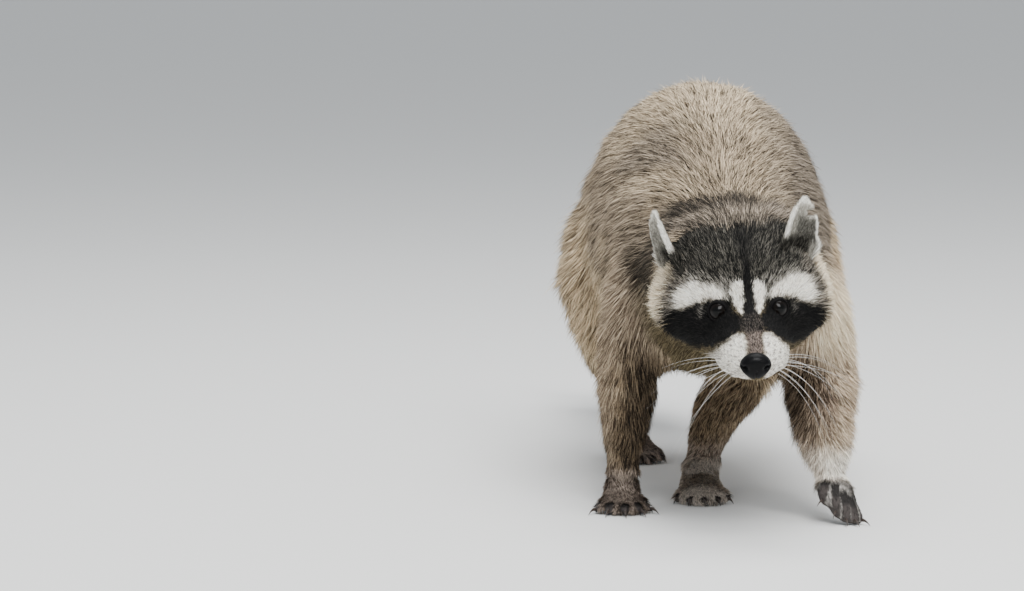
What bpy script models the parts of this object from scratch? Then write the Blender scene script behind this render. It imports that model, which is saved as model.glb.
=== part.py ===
"""A life-size walking raccoon, as a still museum model, parted into its natural regions.

Metres, +Z up. The animal walks towards -Y, and its left side is at +X. Its outline is that of the coat,
out to the tips of the guard hairs. The body is built whole from lofted sections, merged into one skin,
set down on the floor plane, and then parted with thin cuts.
"""

import math

import bmesh
import bpy
from mathutils import Euler, Matrix, Vector

MM = 0.001

# Driving sizes, in millimetres.
CUT_GAP = 0.4              # width of the thin cut between two neighbouring regions
FLOOR_LEVEL = 1.6          # the plane that all four paws are pressed flat on
FLOOR_BLOCK = (600, 1200, 100)
FLOOR_MIDDLE = (0, 200)
SOCKET_GAP = 0.4           # clearance round an eyeball or an ear root
EYE_RADIUS = 8.0
NOSE_CENTRE = (0.0, -65.0, -10.0)
NOSE_RADII = (11.5, 7.5, 9.8)
EYE_CENTRE = (20.5, 3.5, -2.2)
EAR_HEIGHT = 43.0
EAR_HALF_WIDTH = 15.5
EAR_THICKNESS = 2.6
EAR_ROOT_DEPTH = 9.0       # how far the ear's foot reaches into the head
CLAW_LENGTH = {"fore": 9.0, "hind": 8.0}
CLAW_RADIUS = 1.5
CLAW_LIFT = 0.1            # the slope at which a claw leaves its toe
CLAW_HOOK = 0.4            # how far the tip bends down, as a share of the length
CLAW_TAPER = 0.88          # the share of the radius lost from root to tip
CLAW_FLATNESS = 0.75       # a claw's width as a share of its height
CLAW_STEPS = 3
CLAW_SIDES = 6
CLAW_ROOT_DEPTH = 1.5      # how far a claw's flat root sits inside the toe, in a socket of its own

# Mesh fineness, in millimetres and counts.
BODY_VOXEL = 5.0
PAW_VOXEL = 2.8
BODY_SMOOTHING = 7
PAW_SMOOTHING = 2
BODY_TRIANGLES = 3100
RING_SIDES = 20
CAP_ANGLES = (28, 55, 80)  # the rings of a tube's round end, in degrees
SHARP_ANGLE = 50.0         # edges that bend more than this many degrees stay sharp
MEND = 0.00002             # in metres: points nearer than this are one
WELD = 0.0003              # in metres: on a cut region, under the width of a cut

# The head's own frame: its origin is midway between the eyes, +Y runs back along the muzzle's line.
HEAD_ORIGIN = Vector((4.0, -165.0, 170.0)) * MM
HEAD_PITCH = math.radians(25.5)
HEAD_ROLL = math.radians(-2.4)
HEAD_YAW = math.radians(-0.4)

COLOURS = {
    "grizzled_coat": (0.30, 0.27, 0.23),
    "face_coat": (0.36, 0.34, 0.31),
    "leg_coat": (0.27, 0.24, 0.21),
    "tail_coat": (0.22, 0.20, 0.17),
    "paw_skin": (0.10, 0.09, 0.09),
    "ear_coat": (0.62, 0.61, 0.56),
    "eye": (0.03, 0.02, 0.015),
    "nose_leather": (0.02, 0.02, 0.022),
    "claw_horn": (0.10, 0.09, 0.08),
}
ROUGHNESS = {"eye": 0.08, "nose_leather": 0.35, "claw_horn": 0.4}
COAT_ROUGHNESS = 0.85

# Trunk sections: place along the back, half width, back height, height of the widest line, belly height.
TRUNK = (
    (-78, 44, 212, 168, 126),
    (-52, 62, 234, 166, 112),
    (-15, 76, 254, 166, 103),
    (30, 84, 273, 172, 99),
    (80, 91, 292, 180, 97),
    (130, 96, 308, 190, 98),
    (180, 97, 318, 200, 101),
    (225, 97, 320, 205, 107),
    (268, 95, 313, 205, 118),
    (308, 88, 296, 203, 134),
    (342, 71, 271, 201, 153),
    (366, 50, 247, 202, 172),
    (380, 30, 231, 204, 187),
)

# Head sections in the head's frame: place behind the eyes, half width, top, height of the widest line,
# bottom, and how ridged the upper half is (2 is an ellipse, lower is a ridge).
HEAD = (
    (-66, 10, -5, -12.5, -18, 2.2),
    (-62, 14, -2.5, -13, -21.5, 2.1),
    (-54, 19.5, 0, -14.5, -26.5, 2.0),
    (-46, 24, 2.5, -16.5, -30.5, 1.9),
    (-36, 26.5, 5, -18, -35.5, 1.75),
    (-25, 27.5, 7.5, -18.5, -39.5, 1.6),
    (-14, 29, 10.5, -18.5, -43, 1.45),
    (-3, 33, 13.5, -18.5, -46.5, 1.3),
    (5, 40, 19, -19, -50, 1.35),
    (13, 50, 27, -20, -53, 1.45),
    (24, 60.5, 34.5, -22, -56, 1.6),
    (38, 66.5, 39.5, -24, -59, 1.7),
    (54, 68.5, 42, -24, -61, 1.75),
    (72, 66, 42, -21, -60, 1.85),
    (90, 60, 38, -15, -54, 2.0),
    (104, 50, 30, -10, -44, 2.0),
)

# Tubes: x, y, z of the centre line, then the radii across and along the animal.
NECK = (
    (4, -92, 184, 60, 56),
    (3, -60, 184, 66, 62),
    (2, -20, 184, 72, 66),
    (0, 20, 186, 74, 68),
)
TAIL = (
    (0, 350, 222, 27, 24),
    (0, 384, 208, 30, 27),
    (-2, 420, 188, 34, 32),
    (-6, 462, 162, 37, 36),
    (-16, 508, 135, 38, 37),
    (-30, 554, 114, 36, 36),
    (-44, 594, 103, 31, 31),
    (-53, 620, 101, 26, 26),
    (-57, 634, 103, 20, 20),
)
LIMBS = {
    "fore_right": (
        (-46, 4, 188, 34, 44),
        (-58, 2, 158, 33, 41),
        (-67, 14, 128, 29, 34),
        (-71, 22, 104, 24.5, 27),
        (-72, 20, 82, 21.5, 22),
        (-74.5, 15, 58, 17.5, 17),
        (-76, 11, 38, 13.5, 13),
        (-76.5, 8, 24, 12.5, 11.5),
    ),
    "fore_left": (
        (46, -14, 186, 34, 44),
        (58, -20, 158, 33, 41),
        (66, -16, 130, 30, 35),
        (69, -18, 108, 28, 29),
        (71, -32, 88, 24, 23),
        (70.5, -47, 68, 21.5, 18),
        (73, -56, 52, 17.5, 15),
        (75, -62, 38, 12.5, 11.5),
    ),
    "hind_right": (
        (-48, 262, 215, 46, 58),
        (-70, 242, 182, 44, 56),
        (-81, 222, 150, 37, 46),
        (-80, 222, 124, 28, 36),
        (-75, 250, 102, 21, 25),
        (-69, 288, 82, 16.5, 18),
        (-64, 322, 64, 13.5, 14),
        (-60, 338, 50, 12.5, 12),
        (-58, 330, 34, 12, 11),
        (-56, 311, 20, 13.5, 9.5),
    ),
    "hind_left": (
        (48, 256, 215, 46, 58),
        (70, 222, 180, 43, 55),
        (75, 186, 148, 36, 45),
        (61, 160, 124, 29, 34),
        (38, 146, 104, 25.5, 27),
        (20, 136, 82, 25, 23),
        (5, 126, 60, 20.5, 19),
        (-4, 117, 38, 16, 15),
        (-9, 104, 19, 14.5, 13.5),
        (-11, 84, 12, 15, 11),
    ),
}

# Paws: the palm or sole as tubes, then the knuckle line and the fan of the toes.
PALMS = {
    "fore_right": ((-76.5, 9, 17, 12, 10), (-77, -2, 10.5, 14, 9), (-77, -12, 8.2, 15, 8)),
    "fore_left": ((75.5, -65, 32, 12, 10), (76.5, -71, 27.5, 13.5, 9), (77.5, -76, 23, 14, 8)),
    "hind_right": ((-53, 309, 17, 14, 9.5), (-49.5, 290, 11, 15.5, 9), (-47, 276, 8.5, 16.5, 8)),
    "hind_left": ((-11, 84, 10, 15, 10), (-12.5, 60, 9.5, 16, 9), (-13.5, 36, 8.5, 17.5, 8)),
}
TOE_COUNT = 5
TOE_RADIUS = {"fore": 4.5, "hind": 4.8}
TOE_LENGTH = {"fore": (17, 24, 27, 25, 19), "hind": (14, 20, 22, 20, 15)}
TOE_SPREAD = {"fore": 60.0, "hind": 40.0}   # the fan's opening angle, in degrees
TOE_TIP_HEIGHT = {"fore": 3.6, "hind": 4.0} # of a planted toe's centre line at its tip
TOE_JOINT_HEIGHT = {"fore": 8.0, "hind": 7.5}
TOE_SWELL = (1.08, 1.0, 1.03, 0.9)          # the radius from knuckle to tip, as shares of the toe's own
KNUCKLE_INSET = 3.0                         # the outer knuckles stand this far inside the palm's edge
KNUCKLE_BACKSET = 5.0                       # and this far behind the middle one
LIFTED_BEND = (0, -4.0, 2.5)                # how far a lifted toe's middle joint stands off its chord
LIFTED_PAW = "fore_left"
LIFTED_TILT = 5.5                           # the outer knuckle hangs this much lower than the middle one
LIFTED_TIPS = (
    (68.5, -79, 17.5),
    (76.5, -86, 9.5),
    (83.5, -90, 4.6),
    (89.5, -90, 3.7),
    (95, -85, 3.5),
)

# Each region is what lies inside its cutter: centre, full size and turn (degrees about X, Y and Z). The
# cutter is a box, or for the shoulders and haunches a drum across the animal.
DRUMS = ("upper_arm_right", "upper_arm_left", "thigh_right", "thigh_left")
DRUM_SIDES = 20
REGIONS = (
    ("forepaw_right", ((-77, -12, 9), (60, 72, 48), (0, 0, 0))),
    ("forepaw_left", ((84, -88, 18), (60, 44, 52), (38, 0, 0))),
    ("hindpaw_right", ((-51, 298, 12), (64, 84, 36), (0, 0, 0))),
    ("hindpaw_left", ((-12, 55, 6), (60, 116, 44), (0, 0, 0))),
    ("forearm_right", ((-76, 10, 46), (66, 90, 106), (0, 0, 0))),
    ("forearm_left", ((78, -52, 62), (76, 100, 66), (30, 0, 0))),
    ("shank_right", ((-64, 306, 48), (70, 118, 110), (0, 0, 0))),
    ("shank_left", ((8, 122, 42), (72, 92, 104), (0, 0, 0))),
    ("upper_arm_right", ((-92, 10, 142), (92, 104, 126), (0, 0, 0))),
    ("upper_arm_left", ((92, -20, 142), (92, 104, 126), (0, 0, 0))),
    ("thigh_right", ((-108, 240, 164), (88, 172, 196), (0, 0, 0))),
    ("thigh_left", ((92, 212, 150), (108, 172, 192), (0, 0, 0))),
    ("tail_tip", ((-36, 606, 100), (140, 100, 140), (0, 0, 0))),
    ("tail_middle", ((-12, 520, 130), (160, 100, 200), (0, 0, 0))),
    ("tail_base", ((-2, 428, 190), (160, 100, 200), (22, 0, 0))),
    ("rump", ((0, 345, 210), (260, 160, 300), (0, 0, 0))),
    ("head", None),
    ("neck", ((2, -96, 180), (240, 120, 240), (8, 0, 0))),
    ("chest", ((0, -10, 180), (300, 150, 300), (0, 0, 0))),
)
LAST_REGION = "trunk"
# In the head's frame: the head down to the nape.
HEAD_REGIONS = {"head": ((0, -10, 0), (200, 150, 200), (0, 0, 0))}

MATERIAL_OF = {
    "head": "face_coat",
    "nose": "nose_leather",
    "tail": "tail_coat",
    "forepaw": "paw_skin",
    "hindpaw": "paw_skin",
    "forearm": "leg_coat",
    "upper_arm": "leg_coat",
    "shank": "leg_coat",
    "thigh": "leg_coat",
    "ear": "ear_coat",
    "eye": "eye",
    "claw": "claw_horn",
}


def clear_scene():
    for obj in list(bpy.data.objects):
        bpy.data.objects.remove(obj)


def new_collection(name):
    collection = bpy.data.collections.new(name)
    bpy.context.scene.collection.children.link(collection)
    return collection


def make_materials():
    """One Principled material for each finish."""
    made = {}
    for name, colour in COLOURS.items():
        material = bpy.data.materials.new(name)
        material.use_nodes = True
        shader = material.node_tree.nodes["Principled BSDF"]
        shader.inputs["Base Color"].default_value = (*colour, 1.0)
        shader.inputs["Roughness"].default_value = ROUGHNESS.get(name, COAT_ROUGHNESS)
        shader.inputs["Metallic"].default_value = 0.0
        made[name] = material
    return made


def head_frame():
    """The matrix that takes the head's own coordinates, in metres, to the animal's."""
    turn = Euler((HEAD_PITCH, HEAD_ROLL, HEAD_YAW), "XYZ").to_matrix().to_4x4()
    return Matrix.Translation(HEAD_ORIGIN) @ turn


def object_from(bm, name, collection):
    """A mesh object from a bmesh, which it frees."""
    bm.normal_update()
    bmesh.ops.recalc_face_normals(bm, faces=bm.faces)
    mesh = bpy.data.meshes.new(name)
    bm.to_mesh(mesh)
    bm.free()
    obj = bpy.data.objects.new(name, mesh)
    collection.objects.link(obj)
    return obj


def loft(rings, name, collection):
    """A closed tube through rings of points that all have the same number of points."""
    bm = bmesh.new()
    layers = [[bm.verts.new(point) for point in ring] for ring in rings]
    sides = len(layers[0])
    for lower, upper in zip(layers, layers[1:]):
        for k in range(sides):
            bm.faces.new((lower[k], lower[(k + 1) % sides], upper[(k + 1) % sides], upper[k]))
    bm.faces.new(layers[0])
    bm.faces.new(layers[-1])
    return object_from(bm, name, collection)


def section(half_width, top, level, bottom, ridge=2.0, belly=2.0):
    """Points (across, up) round one body section, widest at level."""
    points = []
    for k in range(RING_SIDES):
        angle = 2 * math.pi * k / RING_SIDES
        c, s = math.cos(angle), math.sin(angle)
        power = 2.0 / (ridge if s >= 0 else belly)
        height = (top - level) if s >= 0 else (level - bottom)
        across = half_width * math.copysign(abs(c) ** power, c)
        up = level + height * math.copysign(abs(s) ** power, s)
        points.append((across, up))
    return points


def trunk_body(collection):
    rings = []
    for place, half_width, top, level, bottom in TRUNK:
        ring = section(half_width, top, level, bottom)
        rings.append([Vector((x, place, z)) * MM for x, z in ring])
    return loft(rings, "trunk_form", collection)


def head_body(collection):
    rings = []
    for place, half_width, top, level, bottom, ridge in HEAD:
        ring = section(half_width, top, level, bottom, ridge)
        rings.append([Vector((x, place, z)) * MM for x, z in ring])
    obj = loft(rings, "head_form", collection)
    obj.data.transform(head_frame())
    return obj


def tube(stations, name, collection):
    """A round-ended tube along a path; each station is a centre and the radii across and along."""
    centres = [Vector(s[:3]) for s in stations]
    last = len(centres) - 1
    rings = []

    def add_ring(centre, tangent, across, along):
        side = (Vector((1, 0, 0)) - tangent * tangent.x).normalized()
        other = tangent.cross(side)
        ring = []
        for k in range(RING_SIDES):
            angle = 2 * math.pi * k / RING_SIDES
            offset = side * across * math.cos(angle) + other * along * math.sin(angle)
            ring.append((centre + offset) * MM)
        rings.append(ring)

    for i, station in enumerate(stations):
        tangent = (centres[min(i + 1, last)] - centres[max(i - 1, 0)]).normalized()
        across, along = station[3:]
        cap_angles = ()
        if i in (0, last):
            cap_angles = reversed(CAP_ANGLES) if i == 0 else CAP_ANGLES
        outward = -1 if i == 0 else 1
        reach = min(across, along)
        if i != 0:
            add_ring(centres[i], tangent, across, along)
        for degrees in cap_angles:
            angle = math.radians(degrees)
            place = centres[i] + tangent * outward * reach * math.sin(angle)
            add_ring(place, tangent, across * math.cos(angle), along * math.cos(angle))
        if i == 0:
            add_ring(centres[i], tangent, across, along)
    return loft(rings, name, collection)


def toe_rows(paw):
    """For each toe of a paw, from the inner one: its knuckle, middle joint, tip and level heading."""
    kind, side = paw.split("_")
    outward = 1 if side == "left" else -1
    knuckles = Vector(PALMS[paw][-1][:3])
    reach = PALMS[paw][-1][3] - KNUCKLE_INSET
    rows = []
    for k in range(TOE_COUNT):
        share = k / (TOE_COUNT - 1) * 2 - 1
        length = TOE_LENGTH[kind][k]
        angle = math.radians(TOE_SPREAD[kind] / 2 * share)
        heading = Vector((outward * math.sin(angle), -math.cos(angle), 0))
        back = share**2 * KNUCKLE_BACKSET
        root = knuckles + Vector((outward * reach * share, back, 0))
        if paw == LIFTED_PAW:
            root.z -= LIFTED_TILT * share
            tip = Vector(LIFTED_TIPS[k])
            middle = root.lerp(tip, 0.5) + Vector(LIFTED_BEND)
        else:
            tip = root + heading * length
            tip.z = TOE_TIP_HEIGHT[kind]
            middle = root + heading * length * 0.5
            middle.z = TOE_JOINT_HEIGHT[kind]
        rows.append((root, middle, tip, heading))
    return rows


def paw_forms(paw, collection):
    """The palm or sole of one paw with its toes, as overlapping closed tubes."""
    kind = paw.split("_")[0]
    radius = TOE_RADIUS[kind]
    forms = [tube(PALMS[paw], paw + "_palm", collection)]
    for k, (root, middle, tip, _) in enumerate(toe_rows(paw)):
        centres = (root, root.lerp(middle, 0.5), middle, tip)
        stations = [(*centre, radius * swell, radius * swell) for centre, swell in zip(centres, TOE_SWELL)]
        forms.append(tube(stations, f"{paw}_toe_{k + 1}", collection))
    return forms


def box(centre, size, turn, name, collection, grow=0.0, frame=None, drum=False):
    """A box or drum cutter, in millimetres, that is grown on every side when it takes a region away."""
    bm = bmesh.new()
    if drum:
        bmesh.ops.create_cone(bm, cap_ends=True, segments=DRUM_SIDES, radius1=0.5, radius2=0.5, depth=1.0)
        bm.transform(Matrix.Rotation(math.radians(90), 4, "Y"))
    else:
        bmesh.ops.create_cube(bm, size=1.0)
    full = [(s + 2 * grow) * MM for s in size]
    place = Matrix.LocRotScale(Vector(centre) * MM, Euler([math.radians(a) for a in turn]), full)
    bm.transform(place if frame is None else frame @ place)
    obj = object_from(bm, name, collection)
    obj.hide_render = True
    obj.display_type = "WIRE"
    return obj


def evaluated_mesh(obj):
    bpy.context.view_layer.update()
    graph = bpy.context.evaluated_depsgraph_get()
    return bpy.data.meshes.new_from_object(obj.evaluated_get(graph))


def settle(obj):
    """Applies the object's modifiers."""
    mesh = evaluated_mesh(obj)
    obj.modifiers.clear()
    obj.data = mesh
    return obj


def joined(objects, name, collection):
    """One object that holds the meshes of several, which are removed."""
    bm = bmesh.new()
    for obj in objects:
        bm.from_mesh(obj.data)
        bpy.data.objects.remove(obj)
    return object_from(bm, name, collection)


def merge(obj, voxel, smoothing):
    """Melts overlapping closed forms into one closed surface and softens the creases between them."""
    remesh = obj.modifiers.new("melt", "REMESH")
    remesh.mode = "VOXEL"
    remesh.voxel_size = voxel * MM
    smooth = obj.modifiers.new("soften", "SMOOTH")
    smooth.factor = 0.5
    smooth.iterations = smoothing
    return settle(obj)


def boolean(obj, cutter, operation):
    modifier = obj.modifiers.new(operation.lower(), "BOOLEAN")
    modifier.operation = operation
    modifier.object = cutter
    modifier.solver = "EXACT"
    return settle(obj)


def whole_body(collection, cutters):
    """The whole animal but for its ears, as one closed surface that stands on the floor plane."""
    forms = [trunk_body(collection), head_body(collection), tube(NECK, "neck_form", collection)]
    forms.append(tube(TAIL, "tail_form", collection))
    forms += [tube(stations, name + "_form", collection) for name, stations in LIMBS.items()]
    body = merge(joined(forms, "body", collection), BODY_VOXEL, BODY_SMOOTHING)
    paws = [form for paw in PALMS for form in paw_forms(paw, collection)]
    body = merge(joined([body, *paws], "body", collection), PAW_VOXEL, PAW_SMOOTHING)
    thin = body.modifiers.new("thin", "DECIMATE")
    thin.ratio = BODY_TRIANGLES / (2 * len(body.data.polygons))
    settle(body)
    middle = (*FLOOR_MIDDLE, FLOOR_LEVEL - FLOOR_BLOCK[2] / 2)
    floor = box(middle, FLOOR_BLOCK, (0, 0, 0), "floor_cutter", cutters)
    return boolean(body, floor, "DIFFERENCE")


def copy_of(obj, name, collection):
    twin = bpy.data.objects.new(name, obj.data.copy())
    twin.matrix_world = obj.matrix_world.copy()
    collection.objects.link(twin)
    return twin


def largest_body(obj, weld=MEND):
    """Welds a cut's slivers and keeps only the largest connected piece, as a cut can leave crumbs."""
    bm = bmesh.new()
    bm.from_mesh(obj.data)
    bmesh.ops.remove_doubles(bm, verts=bm.verts, dist=weld)
    bmesh.ops.dissolve_degenerate(bm, edges=bm.edges, dist=MEND)
    bmesh.ops.holes_fill(bm, edges=[edge for edge in bm.edges if edge.is_boundary], sides=0)
    unseen = set(bm.verts)
    islands = []
    while unseen:
        island, edge_of = set(), [unseen.pop()]
        while edge_of:
            vert = edge_of.pop()
            island.add(vert)
            for edge in vert.link_edges:
                other = edge.other_vert(vert)
                if other in unseen:
                    unseen.remove(other)
                    edge_of.append(other)
        islands.append(island)
    islands.sort(key=len)
    crumbs = [vert for island in islands[:-1] for vert in island]
    bmesh.ops.delete(bm, geom=crumbs, context="VERTS")
    bm.to_mesh(obj.data)
    bm.free()
    return obj


def part_body(body, collection, cutters):
    """Parts the whole body into its regions, each taken off in turn with a thin cut."""
    parts = {}
    frame = head_frame()
    for name, bounds in REGIONS:
        in_head = name in HEAD_REGIONS
        centre, size, turn = HEAD_REGIONS[name] if in_head else bounds
        place = frame if in_head else None
        drum = name in DRUMS
        inner = box(centre, size, turn, name + "_inner", cutters, 0.0, place, drum)
        outer = box(centre, size, turn, name + "_outer", cutters, CUT_GAP, place, drum)
        parts[name] = largest_body(boolean(copy_of(body, name, collection), inner, "INTERSECT"), WELD)
        boolean(body, outer, "DIFFERENCE")
    body.name = LAST_REGION
    parts[LAST_REGION] = largest_body(body, WELD)
    return parts


def ball(centre, radii, name, collection, segments=14):
    """An ellipsoid in the head's frame, its pole on the line of sight."""
    bm = bmesh.new()
    bmesh.ops.create_uvsphere(bm, u_segments=segments, v_segments=segments // 2, radius=MM)
    turn = Matrix.Rotation(math.radians(90), 4, "X")
    bm.transform(head_frame() @ Matrix.LocRotScale(Vector(centre) * MM, None, Vector(radii)) @ turn)
    return object_from(bm, name, collection)


def add_eyes_and_nose(parts, collection, cutters):
    """Eyeballs and the nose leather, seated in sockets in the head."""
    balls = {"nose": (NOSE_CENTRE, NOSE_RADII)}
    for side, sign in (("left", 1), ("right", -1)):
        centre = (sign * EYE_CENTRE[0], EYE_CENTRE[1], EYE_CENTRE[2])
        balls["eye_" + side] = (centre, (EYE_RADIUS,) * 3)
    for name, (centre, radii) in balls.items():
        parts[name] = ball(centre, radii, name, collection)
        roomy = [radius + SOCKET_GAP for radius in radii]
        socket = ball(centre, roomy, name + "_socket", cutters)
        socket.hide_render = True
        parts["head"] = largest_body(boolean(parts["head"], socket, "DIFFERENCE"))


# Each ear: its root in the head's frame, then lean back, lean outward and how far its opening turns out.
EARS = {
    "left": ((36.0, 46.0, 17.0), 17.0, 14.0, 28.0),
    "right": ((-48.0, 48.0, 11.0), 15.0, -26.0, -62.0),
}
EAR_ROWS = 6
EAR_COLUMNS = 6
EAR_TIP_SHIFT = 4.0        # the tip stands nearer the ear's outer edge
EAR_FOOT_WIDTH = 0.86      # the foot's width as a share of the widest
EAR_TIP_WIDTH = 0.12       # the tip's width as a share of the widest
EAR_ROUND_FROM = 0.28      # the share of the height from which the outline rounds off to the tip
EAR_CURL = (66.0, 36.0)    # half the angle the leaf curls through, at its foot and at its tip, in degrees
EAR_CUP_DEPTH = 3.0        # how far the middle of the leaf bows forward
EAR_SET_BACK = 5.0         # how far the leaf stands behind its root point
NICK_CORNER = (6.5, 31.0)  # the bite takes what is outward of and above this point of the left ear
NICK_SIZE = (20.0, 40.0, 6.5)
NICK_MIDDLE = -4.0         # the bite's middle, along the ear's thickness
NICK_TILT = -18.0          # in degrees


def ear_outline(share):
    """Half the ear's width at a share of its height: broad low down, and a rounded tip."""
    base = EAR_FOOT_WIDTH + (1 - EAR_FOOT_WIDTH) * math.sin(math.pi * min(share / 0.5, 1.0))
    beyond = max(share - EAR_ROUND_FROM, 0.0) / (1 - EAR_ROUND_FROM)
    tip = math.sqrt(max(1.0 - beyond**2, 0.0))
    return EAR_HALF_WIDTH * base * (EAR_TIP_WIDTH + (1 - EAR_TIP_WIDTH) * tip)


def ear_frame(side):
    """The matrix that takes an ear's own coordinates to the animal's."""
    root, back, lean, turn_out = EARS[side]
    turn = Euler([math.radians(angle) for angle in (-back, lean, turn_out)], "ZXY")
    return head_frame() @ Matrix.LocRotScale(Vector(root) * MM, turn, None)


def ear_shell(side, name, collection, grow=0.0):
    """A cupped leaf of even thickness that opens towards the front of its own frame."""
    outward = 1 if side == "left" else -1
    bm = bmesh.new()
    grid = []
    for i in range(EAR_ROWS + 1):
        share = i / EAR_ROWS
        height = -EAR_ROOT_DEPTH - grow + (EAR_HEIGHT + EAR_ROOT_DEPTH + 2 * grow) * share
        half_width = ear_outline(share) + grow
        curl = math.radians(EAR_CURL[0] + (EAR_CURL[1] - EAR_CURL[0]) * share)
        radius = half_width / math.sin(curl)
        row = []
        for j in range(EAR_COLUMNS + 1):
            angle = curl * (2 * j / EAR_COLUMNS - 1)
            depth = EAR_SET_BACK - radius * (1 - math.cos(angle)) - EAR_CUP_DEPTH * math.sin(math.pi * share)
            across = radius * math.sin(angle) + outward * EAR_TIP_SHIFT * share
            row.append(bm.verts.new(Vector((across, depth, height)) * MM))
        grid.append(row)
    for lower, upper in zip(grid, grid[1:]):
        for j in range(EAR_COLUMNS):
            bm.faces.new((lower[j], lower[j + 1], upper[j + 1], upper[j]))
    obj = object_from(bm, name, collection)
    shell = obj.modifiers.new("thickness", "SOLIDIFY")
    shell.thickness = (EAR_THICKNESS + 2 * grow) * MM
    shell.offset = 0.0
    settle(obj)
    obj.data.transform(ear_frame(side))
    return obj


def nick_cutter(cutters):
    """The torn corner of the left ear's outer edge."""
    centre = (NICK_CORNER[0] + NICK_SIZE[0] / 2, NICK_MIDDLE, NICK_CORNER[1] + NICK_SIZE[2] / 2)
    return box(centre, NICK_SIZE, (0, NICK_TILT, 0), "nick_cutter", cutters, 0.0, ear_frame("left"))


def add_ears(parts, collection, cutters):
    """Ears whose feet sit in slits cut in the head and the neck."""
    nick = nick_cutter(cutters)
    for side in EARS:
        ear = ear_shell(side, "ear_" + side, collection)
        slit = ear_shell(side, "ear_slit_" + side, cutters, SOCKET_GAP)
        slit.hide_render = True
        parts["ear_" + side] = boolean(ear, nick, "DIFFERENCE") if side == "left" else ear
        for name in ("head", "neck"):
            parts[name] = largest_body(boolean(parts[name], slit, "DIFFERENCE"))


def claw(name, root, heading, length, collection, grow=0.0):
    """A curved tapering claw whose flat root faces back along its heading."""
    side = Vector((0, 0, 1)).cross(heading).normalized()
    up = heading.cross(side).normalized()
    rings = []
    for i in range(CLAW_STEPS + 1):
        share = i / CLAW_STEPS
        reach = (length + 2 * grow) * share - grow
        centre = root + heading * reach - up * length * CLAW_HOOK * share**2
        radius = CLAW_RADIUS * (1 - CLAW_TAPER * share) + grow
        ring = []
        for k in range(CLAW_SIDES):
            angle = 2 * math.pi * k / CLAW_SIDES
            across = side * radius * CLAW_FLATNESS * math.cos(angle)
            ring.append((centre + across + up * radius * math.sin(angle)) * MM)
        rings.append(ring)
    return loft(rings, name, collection)


def surface_along(obj, start, heading):
    """The last point, in millimetres, where a ray from inside leaves the object's surface."""
    origin = Vector(start) * MM
    hit, place, _, _ = obj.ray_cast(origin, heading)
    return place / MM if hit else Vector(start)


def add_claws(parts, collection, cutters):
    """One claw on every toe, rooted in a socket at the toe's upper tip."""
    for paw in PALMS:
        kind, side = paw.split("_")
        owner = f"{kind}paw_{side}"
        for k, (_, _, tip, level) in enumerate(toe_rows(paw)):
            heading = (level + Vector((0, 0, CLAW_LIFT))).normalized()
            edge = surface_along(parts[owner], tip + Vector((0, 0, CLAW_RADIUS)), heading)
            root = edge - heading * CLAW_ROOT_DEPTH
            name = f"claw_{kind}_{side}_{k + 1}"
            length = CLAW_LENGTH[kind] + CLAW_ROOT_DEPTH
            parts[name] = claw(name, root, heading, length, collection)
            socket = claw(name + "_socket", root, heading, length, cutters, SOCKET_GAP)
            socket.hide_render = True
            parts[owner] = largest_body(boolean(parts[owner], socket, "DIFFERENCE"))


def dress(parts, materials):
    for name, obj in parts.items():
        finish = next((slot for start, slot in MATERIAL_OF.items() if name.startswith(start)), None)
        obj.data.materials.clear()
        obj.data.materials.append(materials[finish or "grizzled_coat"])
        obj.data.shade_smooth()
        obj.data.set_sharp_from_angle(angle=math.radians(SHARP_ANGLE))


def set_on_origin(parts, collection):
    """Hangs the parts on an empty that puts the middle of the animal's underside at the origin."""
    points = [vert.co for obj in parts.values() for vert in obj.data.vertices]
    low, high = ([pick(point[axis] for point in points) for axis in range(3)] for pick in (min, max))
    root = bpy.data.objects.new("raccoon_root", None)
    collection.objects.link(root)
    root.location = (-(low[0] + high[0]) / 2, -(low[1] + high[1]) / 2, -low[2])
    for obj in parts.values():
        obj.parent = root
    print("shift to the origin, in millimetres:", [round(c / MM, 3) for c in root.location])


def main():
    clear_scene()
    collection = new_collection("raccoon")
    cutters = new_collection("cutters")
    materials = make_materials()
    body = whole_body(collection, cutters)
    parts = part_body(body, collection, cutters)
    add_eyes_and_nose(parts, collection, cutters)
    add_ears(parts, collection, cutters)
    add_claws(parts, collection, cutters)
    dress(parts, materials)
    set_on_origin(parts, collection)


main()
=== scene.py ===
"""Looks of a life-size standing raccoon: a skin under a coat of tufts, with eyes, nose, whiskers, claws."""

import logging
import math
from collections.abc import Callable
from dataclasses import dataclass, fields, replace
from enum import Enum
from functools import lru_cache

import bmesh
import bpy
import numpy as np
from mathutils import Euler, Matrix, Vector
from mathutils.bvhtree import BVHTree


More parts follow.
